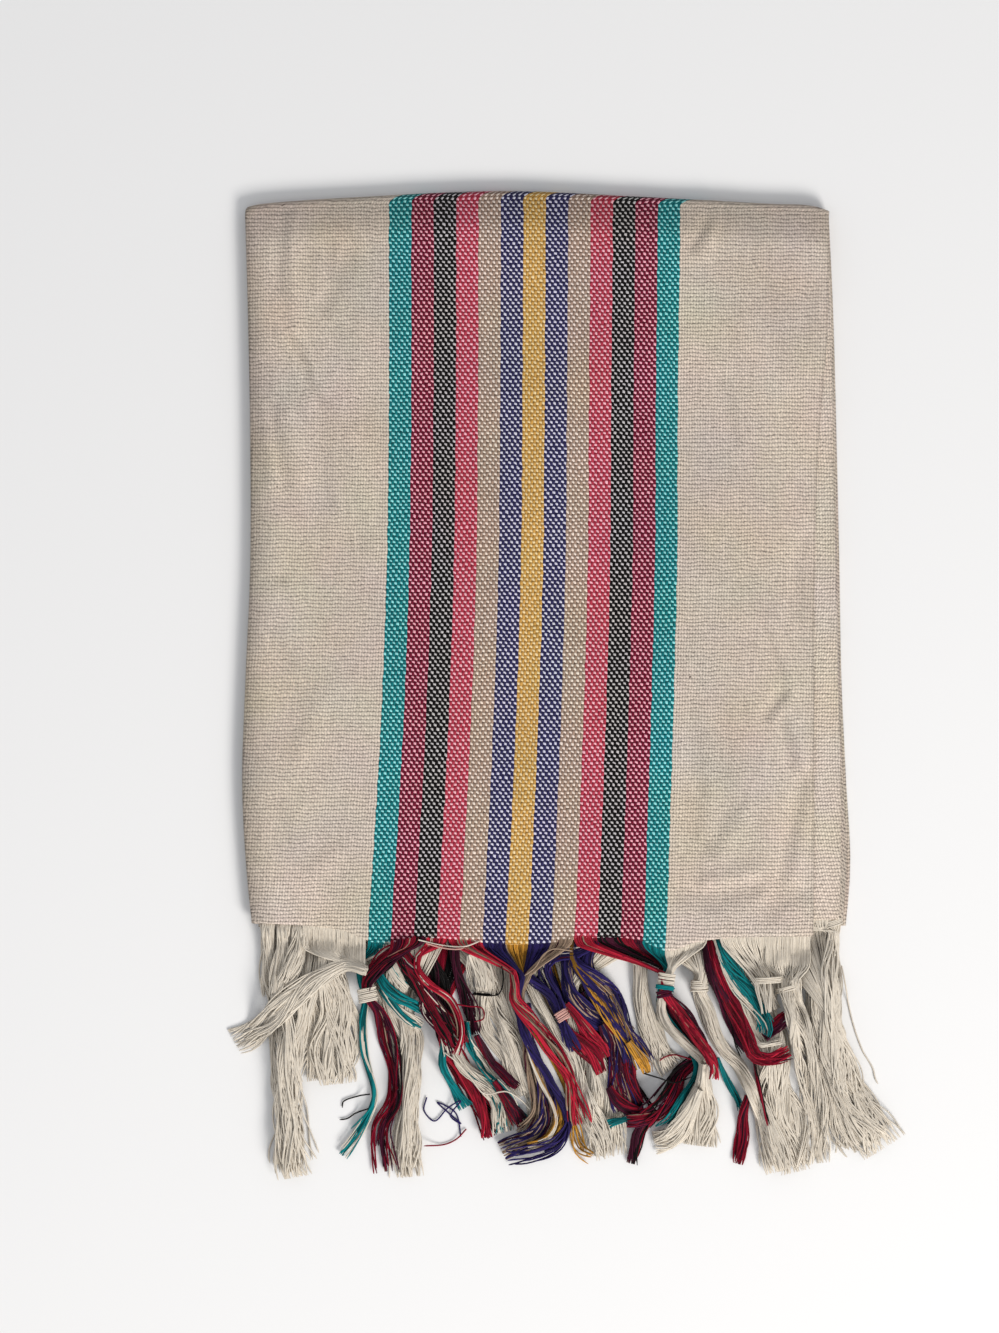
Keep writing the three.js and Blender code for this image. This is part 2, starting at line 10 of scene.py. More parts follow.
import bmesh
import bpy
import numpy as np
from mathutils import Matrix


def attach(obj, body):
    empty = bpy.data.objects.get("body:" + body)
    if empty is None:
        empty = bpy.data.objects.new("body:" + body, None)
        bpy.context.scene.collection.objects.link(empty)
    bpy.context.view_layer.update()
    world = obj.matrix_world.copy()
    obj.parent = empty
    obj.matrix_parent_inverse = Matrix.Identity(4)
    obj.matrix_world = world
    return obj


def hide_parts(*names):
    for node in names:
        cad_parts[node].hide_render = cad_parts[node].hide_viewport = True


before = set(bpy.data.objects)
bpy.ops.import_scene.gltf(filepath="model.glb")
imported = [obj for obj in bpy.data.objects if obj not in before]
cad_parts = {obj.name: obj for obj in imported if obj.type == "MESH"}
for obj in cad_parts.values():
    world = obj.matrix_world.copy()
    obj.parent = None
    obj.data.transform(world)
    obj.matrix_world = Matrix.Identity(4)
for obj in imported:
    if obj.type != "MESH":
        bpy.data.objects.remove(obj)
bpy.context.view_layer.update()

MM = 0.001
# The place in the tables' frame that is the part's own origin, on the plan.
ORIGIN = np.array([7.24, 93.52, 0.0])

# The camera looks straight down, from far enough away that the photograph's flat look holds.
PIXELS_PER_MM = 2.65
FRAME_PIXELS = (999, 1333)
HEM_MIDDLE_PIXEL = (543, 940)
CAMERA_HEIGHT = 1.5  # metres above the towel
SENSOR_HEIGHT = 24.0

# The floor, in metres: a little below the towel, so that nothing of it is cut.
FLOOR_REACH = 4.0
FLOOR_DROP = 0.0003

# The cloth and its layers, on the measures of the part's source but for the swell at the side fold. A layer's
# height is from the plane between the two halves to its own middle.
CLOTH_THICKNESS = 1.1
OUTER_LAYER_HEIGHT = 2.85
INNER_LAYER_HEIGHT = 1.15
HALVES_PLANE = OUTER_LAYER_HEIGHT + CLOTH_THICKNESS / 2
FOLD_SWELL = 0.1  # how much the top layer swells beside the side fold
FOLD_PINCH = 0.5  # and how much the inner ones dip
SWELL_REACH = 9  # how far in from the side fold the swelling dies out
ROLL_DROP = 1.2  # the front half rounds down by this before a fold
ROLL_REACH = 13  # over this far
SIDE_FOLD_DEPTH = 1.0  # from the side fold's outermost line to where its layers run flat
TOP_TURN = OUTER_LAYER_HEIGHT + CLOTH_THICKNESS / 2  # how far the top fold stands past its start
FLAT_HEM = 12  # the stretch above a hem over which creases die out
COCKLING_START = -2  # cockling starts at this height above the hem

# The edges at a height above the front hem: the side fold, and the outer and inner layers' selvedges.
# Columns: up, front fold, front outer, front inner, back fold, back outer, back inner.
EDGES = np.array([
    [-4, -108.4, 101.9, 111.5, -106.5, 113.8, 112.6],
    [28, -111.6, 102.2, 112.4, -108.6, 116.4, 114.8],
    [60, -113.1, 102.3, 112.3, -110.4, 114.8, 113.6],
    [100, -111.8, 102.3, 111.4, -110.2, 113.0, 112.2],
    [140, -110.1, 102.5, 110.5, -109.4, 112.3, 111.4],
    [185, -110.0, 103.9, 109.5, -109.4, 111.3, 110.5],
    [235, -110.9, 107.6, 108.8, -110.4, 110.0, 109.5],
    [283, -112.3, 107.8, 107.2, -112.3, 107.8, 107.2],
])
TOP_EDGE = np.array([
    [-113, 276.0],
    [-104, 278.1],
    [-73, 280.4],
    [-14, 283.0],
    [31, 281.1],
    [86, 278.1],
    [100, 277.4],
    [108, 274.2],
])
# Columns: across, then the hems of the front outer, front inner, back inner and back outer layers.
HEMS = np.array([
    [-110, 6.6, 6.0, 5.0, 4.5],
    [-78, 4.0, 5.2, 4.0, 3.0],
    [-62, -1.6, 4.4, 4.4, 2.2],
    [-44, 0.8, 4.0, 5.2, 3.4],
    [-10, -1.8, 4.8, 4.6, 3.0],
    [22, 1.0, 4.2, 3.8, 4.2],
    [36, 0.0, 4.6, 4.0, 4.4],
    [47, -4.2, 5.0, 4.8, 3.8],
    [58, -0.8, 5.2, 5.0, 3.0],
    [72, 0.8, 6.0, 5.4, 3.6],
    [102, 1.4, 7.6, 6.4, 4.6],
    [117, 1.8, 8.0, 7.0, 5.4],
])
EDGE_COLUMN = {"fold": 1, "outer": 2, "inner": 3}
BACK_HALF = 3  # the back half's columns follow the front half's
HEM_COLUMN = {"front_outer": 1, "front_inner": 2, "back_inner": 3, "back_outer": 4}

# The striped band of the front outer layer: its left and right edges at a height above the hem.
BAND = np.array([
    [-4, -66.1, 45.9],
    [7.5, -65.7, 46.8],
    [30, -64.2, 47.5],
    [83, -61.1, 49.1],
    [143, -58.9, 50.6],
    [204, -58.1, 50.9],
    [268, -58.1, 51.7],
    [283, -58.1, 51.8],
])
BACK_BAND_SHIFT = 14  # the back layer's band shows this far to the right of the front one

# Soft swells and creases of the top layer: from one point to another, with a width and a height.
# The first rows are the source's own swells, and a trough has a height below zero.
CREASES = np.array([
    [-100, 150, -96, 200, 9, 0.45],
    [-98, 22, -90, 70, 10, 0.55],
    [60, 262, 68, 278, 6, 0.35],
    [78, 120, 92, 30, 11, 0.6],
    [-30, 40, -40, 120, 16, 0.4],
    [20, 60, 40, 10, 10, 0.45],
    [62, 205, 84, 150, 14, 0.35],
    # the left panel
    [-96.5, 231, -83.5, 203, 1.5, -0.34],
    [-99, 229, -86.5, 203, 1.6, 0.28],
    [-93.5, 232, -81.5, 206, 1.6, 0.24],
    [-102.5, 200, -97.5, 173, 2.6, -0.42],
    [-105.5, 190, -102, 172, 3.0, 0.5],
    [-97.5, 198, -92, 176, 4.0, 0.3],
    [-104.5, 137, -98, 136.5, 2.0, -0.34],
    [-101.5, 116, -95, 105, 3.6, -0.2],
    [-80, 124, -72, 110, 8.0, -0.16],
    [-82.8, 204, -81.8, 166, 3.0, -0.26],
    [-72.8, 257, -82.3, 239, 2.8, -0.3],
    [-94.6, 272, -94.2, 230, 2.6, 0.34],
    [-98.8, 270, -99.4, 246, 1.8, -0.4],
    [-80.4, 263, -80.0, 250, 1.6, -0.24],
    [-84.6, 256, -85.4, 243, 1.8, 0.16],
    [-90.5, 222, -89.6, 208, 1.8, -0.2],
    [-69.8, 232, -70.6, 214, 2.0, 0.14],
    [-73, 190, -62.6, 147, 2.4, 0.2],
    [-99.5, 52, -98, 40, 4.0, -0.24],
    [-92, 70, -84, 92, 4.0, 0.25],
    [-88, 24, -76, 34, 4.0, 0.25],
    # the right panel
    [56.2, 262, 61.9, 272, 2.0, -0.36],
    [60, 259, 65.6, 270, 2.2, 0.24],
    [66.5, 266, 68.5, 276, 1.8, -0.24],
    [68.7, 211, 72.5, 189, 2.8, -0.28],
    [85.5, 243, 91.5, 221, 5.0, -0.18],
    [101.4, 249, 101.0, 232, 2.4, -0.2],
    [98.9, 152, 103.0, 152, 1.8, -0.16],
    [97, 149, 95.8, 123, 2.6, -0.3],
    [85.7, 121, 95.1, 94, 1.8, 0.3],
    [83.5, 119, 92.5, 93, 1.8, -0.26],
    [86.6, 82, 92.3, 90.6, 2.0, 0.2],
    [84.6, 85, 90.0, 93.5, 2.0, -0.4],
    [90.4, 83, 94.2, 66, 2.0, -0.42],
    [91.3, 98, 98.9, 64, 2.2, 0.26],
    [98.9, 62, 89.4, 23, 3.0, -0.38],
    [101, 56, 94, 24, 3.0, 0.18],
    [72.5, 51, 61, 34, 3.0, -0.2],
    [77, 50, 66, 32, 3.2, 0.16],
    [57.6, 78, 58.4, 40, 3.0, -0.16],
    [69, 92, 70, 50, 3.4, -0.14],
    [60, 60, 57.5, 44, 2.6, -0.26],
    [51.7, 17, 63, 14.5, 3.0, -0.4],
    [63, 14.5, 80, 20, 2.8, -0.42],
    [85.7, 11, 91.3, 17, 3.0, -0.42],
    [91.3, 17, 101, 18, 2.8, -0.4],
    [62, 22, 80, 26, 3.0, 0.3],
    # fine drag lines across the stripes
    [-52, 100, -40, 80, 1.2, 0.26],
    [-44, 92, -36, 82, 1.0, 0.26],
    [-47, 75, -38, 62, 1.3, 0.22],
    [-56, 122, -50, 108, 1.3, 0.22],
    [-30, 158, -22, 146, 1.3, 0.2],
    [16, 150, 22, 136, 1.3, 0.2],
    [28, 108, 33, 96, 1.2, 0.26],
    [22, 84, 28, 72, 1.4, 0.2],
    [-12, 66, -6, 52, 1.5, 0.2],
    [42, 268, 47.5, 258, 1.2, 0.24],
])
WIDE_CREASE = 4  # a crease's height is times CREASE_DEPTH up to this width, and less in wider ones
CREASE_DEPTH = 2.6
DEEPEST_TROUGH = -0.55  # below this the top layer would touch the one under it

# The cloth's own soft cockling, a sum of low waves.
COCKLE_SIZE = 11.0  # the usual wavelength
COCKLE_SPREAD = (0.55, 1.8)  # the shortest and longest waves, as shares of the usual one
COCKLE_HEIGHT = 0.06
COCKLE_WAVES = 26
COCKLE_HEADING = (0.35, 0.7)  # the waves' usual heading and how far they stray from it, in radians
COCKLE_BEND = 1.8  # how far a wave bends to and fro
BENDS_ACROSS = (24, 60)
BENDS_ALONG = (30, 70)
COCKLE_SEED = 5
PHASES = (0, 6)  # where a wave may start, about a whole turn in radians

# Painted shade darkens the cloth where its folds round away, along the outer selvedge and in its
# creases: how much, from 0 to 1, and how far in from the fold.
SIDE_SHADE_REACH = 12
SIDE_SHADE_FALL = 2.5
TOP_SHADE = 0.5
TOP_SHADE_REACH = 13
TOP_SHADE_EDGE = 6
SELVEDGE_SHADE = 0.7
CREASE_SHADE = 0.2

# The grid of the cloth's middle surface.
COLUMNS = {"outer": 150, "fold": 10, "inner": 18}
ROWS = {"front": 190, "fold": 14, "back": 30}

WARP_PITCH = 1.06
WEFT_PITCH = 1.41
ENDS_PER_STRIPE = 8
STRIPES = "teal crimson black coral taupe indigo mustard indigo taupe coral black crimson teal".split()
BAND_WIDTH = WARP_PITCH * ENDS_PER_STRIPE * len(STRIPES)

# Each dye, and the tint that a pale pick shows where it crosses ends of that dye.
DYES = {
    "cream": "#DECFBF",
    "teal": "#0A6D71",
    "crimson": "#6C112B",
    "black": "#0F0B0C",
    "coral": "#AC3347",
    "taupe": "#9D8474",
    "indigo": "#2D2A52",
    "mustard": "#C4954B",
}
PICK_TINTS = {
    "cream": "#E2D3C3",
    "teal": "#90DEDD",
    "crimson": "#EFABB8",
    "black": "#C2BEBE",
    "coral": "#F2B4BF",
    "taupe": "#EDDCCE",
    "indigo": "#D2D0E0",
    "mustard": "#EBD3A2",
}
# Loose yarns look brighter than the same ends do in the cloth.
YARN_DYES = {
    "cream": "#D1C8BA",
    "teal": "#0A787C",
    "crimson": "#7C0C24",
    "black": "#0E0B0B",
    "coral": "#B02136",
    "taupe": "#98826F",
    "indigo": "#2A2156",
    "mustard": "#C18C36",
    "pink": "#C79A90",
    "maroon": "#430F26",
}
HUSK = "#3C2C24"  # flecks of cotton husk in the undyed yarn


def smooth(share):
    s = np.clip(share, 0, 1)
    return s * s * (3 - 2 * s)


def rounding(share):
    """How far an edge has rounded down, from none (1) to all (0), steepest at the edge."""
    return (1 - np.clip(share, 0, 1)) ** 3


def curve_through(keys, values, places):
    """The values at places along the keys, on a smooth curve through the rows."""
    last = len(keys) - 1
    order = np.arange(last + 1)
    before = np.clip(order - 1, 0, last)
    after = np.clip(order + 1, 0, last)
    wide = (slice(None),) + (None,) * (values.ndim - 1)
    slopes = (values[after] - values[before]) / (keys[after] - keys[before])[wide]
    i = np.clip(np.searchsorted(keys, places, side="right"), 1, last)
    span = keys[i] - keys[i - 1]
    s = np.clip((places - keys[i - 1]) / span, 0, 1)
    if values.ndim > 1:
        s, span = s[:, None], span[:, None]
    s2, s3 = s * s, s * s * s
    return (
        values[i - 1] * (2 * s3 - 3 * s2 + 1)
        + slopes[i - 1] * span * (s3 - 2 * s2 + s)
        + values[i] * (3 * s2 - 2 * s3)
        + slopes[i] * span * (s3 - s2)
    )


def at(table, column, places):
    """A table's column at places along its first column."""
    return curve_through(table[:, 0], table[:, column], places)


def hem(layer, across):
    """How high above the front hem's middle a layer's hem lies at a place across."""
    return at(HEMS, HEM_COLUMN[layer], np.asarray(across, float))


def crease_height(x, y):
    """The height of the top layer's swells and creases at a place."""
    height = np.zeros_like(x)
    for x0, y0, x1, y1, width, rise in CREASES:
        dx, dy = x1 - x0, y1 - y0
        along = np.clip(((x - x0) * dx + (y - y0) * dy) / (dx * dx + dy * dy), 0, 1)
        away = np.hypot(x - x0 - along * dx, y - y0 - along * dy)
        height += CREASE_DEPTH * min(1, WIDE_CREASE / width) * rise * np.exp(-((away / width) ** 2))
    return height


def cockling(x, y):
    """Low uneven waves, as cotton cloth has once it has been washed."""
    waves = np.zeros_like(x)
    draw = np.random.default_rng(COCKLE_SEED)
    for _ in range(COCKLE_WAVES):
        turn = draw.normal(*COCKLE_HEADING)
        size = COCKLE_SIZE * draw.uniform(*COCKLE_SPREAD)
        phase = draw.uniform(0, 2 * math.pi)
        bend = x / draw.uniform(*BENDS_ACROSS) + y / draw.uniform(*BENDS_ALONG) + draw.uniform(*PHASES)
        ahead = x * math.cos(turn) + y * math.sin(turn)
        waves += np.sin(2 * math.pi * ahead / size + phase + COCKLE_BEND * np.sin(bend))
    return COCKLE_HEIGHT * waves / math.sqrt(COCKLE_WAVES)


def cloth_columns():
    """Each column's turn round the side fold, and its place from a selvedge (0) to the fold (1)."""
    outer = np.arange(COLUMNS["outer"]) / COLUMNS["outer"]
    fold = np.linspace(0, math.pi, COLUMNS["fold"] + 1)
    inner = np.arange(COLUMNS["inner"])[::-1] / COLUMNS["inner"]
    turn = np.concatenate([0 * outer, fold, math.pi + 0 * inner])
    along = np.concatenate([outer, 1 + 0 * fold, inner])
    return turn, along


def cloth_rows():
    """Each row's place up a half (0 to 1), its share of the front half, and its turn over the top fold."""
    up = np.arange(ROWS["front"]) / ROWS["front"]
    sweep = np.linspace(0, math.pi, ROWS["fold"] + 1)
    down = np.arange(ROWS["back"])[::-1] / ROWS["back"]
    return (
        np.concatenate([up, 1 + 0 * sweep, down]),
        np.concatenate([1 + 0 * up, (1 + np.cos(sweep)) / 2, 0 * down]),
        np.concatenate([0 * up, sweep, math.pi + 0 * down]),
    )


def edges_at(front, inner, place):
    """The side fold and the selvedge at a height above the front hem, blended from the front half's to the
    back half's."""
    def blend(column):
        return front * at(EDGES, column, place) + (1 - front) * at(EDGES, column + BACK_HALF, place)
    selvedge = np.where(inner, blend(EDGE_COLUMN["inner"]), blend(EDGE_COLUMN["outer"]))
    return blend(EDGE_COLUMN["fold"]) + SIDE_FOLD_DEPTH, selvedge


def paint_shade(to_side, to_top, selvedge, sunk):
    """How much painted shade darkens the cloth at its folds, along its outer selvedge and in its creases,
    from 0 to 1.
    """
    side = (1 - np.clip(to_side / SIDE_SHADE_REACH, 0, 1)) ** SIDE_SHADE_FALL
    top = TOP_SHADE * smooth((TOP_SHADE_REACH - to_top) / TOP_SHADE_EDGE)
    return np.maximum(np.maximum(side, top), np.maximum(SELVEDGE_SHADE * selvedge, CREASE_SHADE * sunk))


def cloth_surface():
    """The cloth's middle surface as rows of points, each point's place in the weave, and its painted shade.
    """
    turn, along = (a[None, :] for a in cloth_columns())
    up, front, sweep = (a[:, None] for a in cloth_rows())
    inner = turn > math.pi / 2

    def across(place):
        fold, selvedge = edges_at(front, inner, place)
        return selvedge + (fold - selvedge) * along - SIDE_FOLD_DEPTH * np.sin(turn)

    def start_of(half):
        outer, under = hem(half + "_outer", nominal), hem(half + "_inner", nominal)
        return outer + (under - outer) * smooth(turn / math.pi)

    nominal = across(np.full((up.size, turn.size), TOP_EDGE[0, 1] / 2))
    start = np.where(front > 0.5, start_of("front"), start_of("back"))
    top = at(TOP_EDGE, 1, nominal) - TOP_TURN
    y = start + (top - start) * up
    x = across(y)

    # The heights: the outer layers swell and round down at the folds, and the top one has the creases.
    fold, _ = edges_at(front, inner, y)
    near_fold = smooth(1 - (x - fold) / SWELL_REACH)
    upward = np.maximum(np.cos(sweep), 0)
    relief = crease_height(x, y) * smooth(y / FLAT_HEM)
    relief += cockling(x, y) * smooth((y - COCKLING_START) / FLAT_HEM)
    relief = np.where(relief < 0, DEEPEST_TROUGH * np.tanh(relief / DEEPEST_TROUGH), relief) * upward
    rolled = FOLD_SWELL * near_fold - ROLL_DROP * rounding((x - fold) / ROLL_REACH)
    outer = OUTER_LAYER_HEIGHT + upward * rolled + np.where(inner, 0, relief * (1 - near_fold))
    under = INNER_LAYER_HEIGHT - FOLD_PINCH * near_fold
    height = (outer + under) / 2 + (outer - under) / 2 * np.cos(turn)
    near_top = front * rounding((top - y) / ROLL_REACH)
    lowered = height * (1 - ROLL_DROP / OUTER_LAYER_HEIGHT * near_top)
    points = np.stack([x, y + height * np.sin(sweep), HALVES_PLANE + lowered * np.cos(sweep)], -1)

    # The weave: ends are counted from the band's left edge, and picks from the front hem.
    left, right = at(BAND, 1, y), at(BAND, 2, y)
    shift = (1 - front) * BACK_BAND_SHIFT
    stretch = BAND_WIDTH / (right - left)
    fold_line = fold - SIDE_FOLD_DEPTH
    at_fold = (fold_line - left - shift) * stretch
    ends = np.where(inner, at_fold - (x - fold_line), (x - left - shift) * stretch)
    over = top + height * sweep
    picks = np.where(sweep <= 0, y, np.where(up < 1, over + (top - y), over))

    # Painted shade: darker where the folds round away, along the outer selvedge and in the creases' troughs.
    to_top = np.where(sweep > 0, 0, top - y)
    sunk = np.where(inner, 0, np.clip(relief / DEEPEST_TROUGH, 0, 1))
    painted_dark = paint_shade(np.abs(x - fold_line), to_top, front * (along == 0) * (1 - inner), sunk)
    return points, np.stack([ends, picks], -1), painted_dark


def linear(code):
    """An sRGB hex colour as the linear numbers that shaders read."""
    parts = [int(code[i : i + 2], 16) / 255 for i in (1, 3, 5)]
    return tuple(c / 12.92 if c <= 0.04045 else ((c + 0.055) / 1.055) ** 2.4 for c in parts) + (1.0,)


def add(tree, kind, inputs=(), **settings):
    """Adds a shader node with its settings. An input's value is a node or socket to link, or what to set."""
    made = tree.nodes.new("ShaderNode" + kind)
    for name, value in settings.items():
        setattr(made, name, value)
    for key, value in dict(inputs).items():
        if isinstance(value, bpy.types.Node):
            value = value.outputs[0]
        if isinstance(value, bpy.types.NodeSocket):
            tree.links.new(value, made.inputs[key])
        else:
            made.inputs[key].default_value = value
    return made


def new_material(name):
    material = bpy.data.materials.new(name)
    material.use_nodes = True
    material.node_tree.nodes.clear()
    return material, material.node_tree


def finish_material(tree, inputs):
    surface = add(tree, "BsdfPrincipled", inputs)
    add(tree, "OutputMaterial", {"Surface": surface})


def in_part_frame(points):
    return (np.asarray(points, float) - ORIGIN) * MM


def place_in_scene(name, data):
    made = bpy.data.objects.new(name, data)
    bpy.context.scene.collection.objects.link(made)
    return made


def finish_piece(piece, nodes, material):
    piece.data.materials.clear()
    piece.data.materials.append(material)
    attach(piece, "root")
    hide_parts(*nodes)
    return piece


def crossings(tree, threads, centred, dyed):
    """How high the thread on top stands at a place, and how far it is a pick, from 0 to 1."""
    line = add(tree, "SeparateXYZ", {0: centred})
    end_line = add(tree, "Math", {0: line.outputs[0], 1: line.outputs[0]}, operation="MULTIPLY")
    end_round = add(tree, "Math", {0: end_line, 1: -2.4, 2: 0.6}, operation="MULTIPLY_ADD")
    # A pick leans where it crosses an end, because its yarn is twisted.
    leaning = add(tree, "Math", {0: line.outputs[0], 1: 0.35, 2: line.outputs[1]}, operation="MULTIPLY_ADD")
    pick_line = add(tree, "Math", {0: leaning, 1: leaning}, operation="MULTIPLY")
    pick_round = add(tree, "Math", {0: pick_line, 1: -3.6, 2: 0.6}, operation="MULTIPLY_ADD")
    angle = add(tree, "VectorMath", {0: centred, 1: (math.pi, math.pi, 0.0)}, operation="MULTIPLY")
    angles = add(tree, "SeparateXYZ", {0: angle})
    across_end = add(tree, "Math", {0: angles.outputs[0]}, operation="COSINE")
    across_pick = add(tree, "Math", {0: angles.outputs[1]}, operation="COSINE")

    # Over and under: 1 where the end is on top and -1 where the pick is. Undyed ends lie flatter than the
    # dyed ones, so that the plain cloth shows level rows.
    checks = add(tree, "TexChecker", {"Vector": threads, "Scale": 1.0})
    over = add(tree, "Math", {0: checks.outputs["Fac"], 1: 2.0, 2: -1.0}, operation="MULTIPLY_ADD")
    crimp = add(tree, "Math", {0: dyed, 1: 0.3, 2: 0.2}, operation="MULTIPLY_ADD")
    over = add(tree, "Math", {0: over, 1: crimp}, operation="MULTIPLY")
    end_wave = add(tree, "Math", {0: across_pick, 1: over}, operation="MULTIPLY")
    pick_wave = add(tree, "Math", {0: across_end, 1: over}, operation="MULTIPLY")
    end_height = add(tree, "Math", {0: end_wave, 1: end_round}, operation="ADD")
    pick_height = add(tree, "Math", {0: pick_round, 1: pick_wave}, operation="SUBTRACT")

    # The ends are packed closer than the picks and hold them down, more at some threads than at others.
    drawn_out = add(tree, "VectorMath", {0: threads, 1: (1.7, 0.09, 0.0)}, operation="MULTIPLY")
    slubs = add(tree, "TexNoise", {"Vector": drawn_out, "Scale": 1.0, "Detail": 1.0})
    press = add(tree, "Math", {0: dyed, 1: 0.62, 2: -0.42}, operation="MULTIPLY_ADD")
    hold = add(tree, "Math", {0: slubs, 1: 0.6, 2: press}, operation="MULTIPLY_ADD")
    end_top = add(tree, "Math", {0: end_height, 1: hold}, operation="ADD")
    top = add(tree, "Math", {0: pick_height, 1: end_top}, operation="MAXIMUM")
    lead = add(tree, "Math", {0: pick_height, 1: end_top}, operation="SUBTRACT")
    shows_pick = add(
        tree, "MapRange",
        {"Value": lead, "From Min": -0.06, "From Max": 0.1}, interpolation_type="SMOOTHSTEP",
    )
    return top, shows_pick


def stripe_colours(tree, place, table):
    """One colour for each whole end, by its place in the pattern."""
    made = add(tree, "ValToRGB", {"Fac": place})
    ramp = made.color_ramp
    ramp.interpolation = "CONSTANT"
    pattern = ["cream", *STRIPES, "cream"]
    for k, dye in enumerate(pattern):
        start = k / len(pattern)
        stop = ramp.elements[k] if k < 2 else ramp.elements.new(start)
        stop.position = start
        stop.color = linear(table[dye])
    return made


def weave_tone(tree, weave, threads, cell, centred, top):
    """How light the cloth is at a place."""
    # Painted shade between the threads, darker where the thread on top dips.
    gap = add(
        tree, "MapRange", {"Value": top, "From Min": 0.12, "From Max": 0.72, "To Min": 0.5, "To Max": 1.0}
    )
    # Painted shade lies in a dark line between each row of picks. The picks don't lie equally close, so a
    # row's dark line breaks up into dots.
    uneven = add(tree, "TexNoise", {"Vector": threads, "Scale": 0.9, "Detail": 1.0})
    broken = add(tree, "Math", {0: uneven, 1: -1.5, 2: 1.46}, operation="MULTIPLY_ADD")
    line = add(tree, "SeparateXYZ", {0: centred})
    edge = add(tree, "Math", {0: line.outputs[1]}, operation="ABSOLUTE")
    row_gap = add(
        tree, "MapRange",
        {"Value": edge, "From Min": 0.26, "From Max": 0.5, "To Min": 1.0, "To Max": broken},
        interpolation_type="SMOOTHSTEP",
    )
    # Some threads are paler than others, and so are parts of the cloth, centimetres wide.
    shades = add(tree, "TexWhiteNoise", {"Vector": cell}, noise_dimensions="2D")
    shade = add(tree, "Math", {0: shades, 1: 0.12, 2: 0.92}, operation="MULTIPLY_ADD")
    clouds = add(tree, "TexNoise", {"Vector": weave, "Scale": 0.022, "Detail": 3.0})
    cloud = add(tree, "Math", {0: clouds, 1: 0.3, 2: 0.85}, operation="MULTIPLY_ADD")
    # Painted shade at the folds, along the outer selvedge and in the creases darkens the cloth.
    painted_shade = add(tree, "Attribute", attribute_name="painted_shade")
    painted_dark = add(tree, "Math", {0: painted_shade.outputs["Fac"], 1: -0.42, 2: 1.0}, operation="MULTIPLY_ADD")
    tone = gap
    for share in (shade, cloud, row_gap, painted_dark):
        tone = add(tree, "Math", {0: tone, 1: share}, operation="MULTIPLY")
    return tone


def husk_flecks(tree, weave, dyed):
    """Where a fleck of cotton husk shows in the undyed cloth: one place in ten, about a millimetre across."""
    cells = add(tree, "TexVoronoi", {"Vector": weave, "Scale": 0.12})
    chance = add(tree, "SeparateXYZ", {0: cells.outputs["Color"]})
    size = add(
        tree, "MapRange", {"Value": chance, "From Min": 0.9, "From Max": 1.0, "To Min": 0.03, "To Max": 0.08}
    )
    fleck = add(tree, "Math", {0: cells, 1: size}, operation="LESS_THAN")
    some = add(tree, "Math", {0: chance, 1: 0.9}, operation="GREATER_THAN")
    undyed = add(tree, "Math", {0: 1.0, 1: dyed}, operation="SUBTRACT")
    for share in (some, undyed, 0.8):
        fleck = add(tree, "Math", {0: fleck, 1: share}, operation="MULTIPLY")
    return fleck


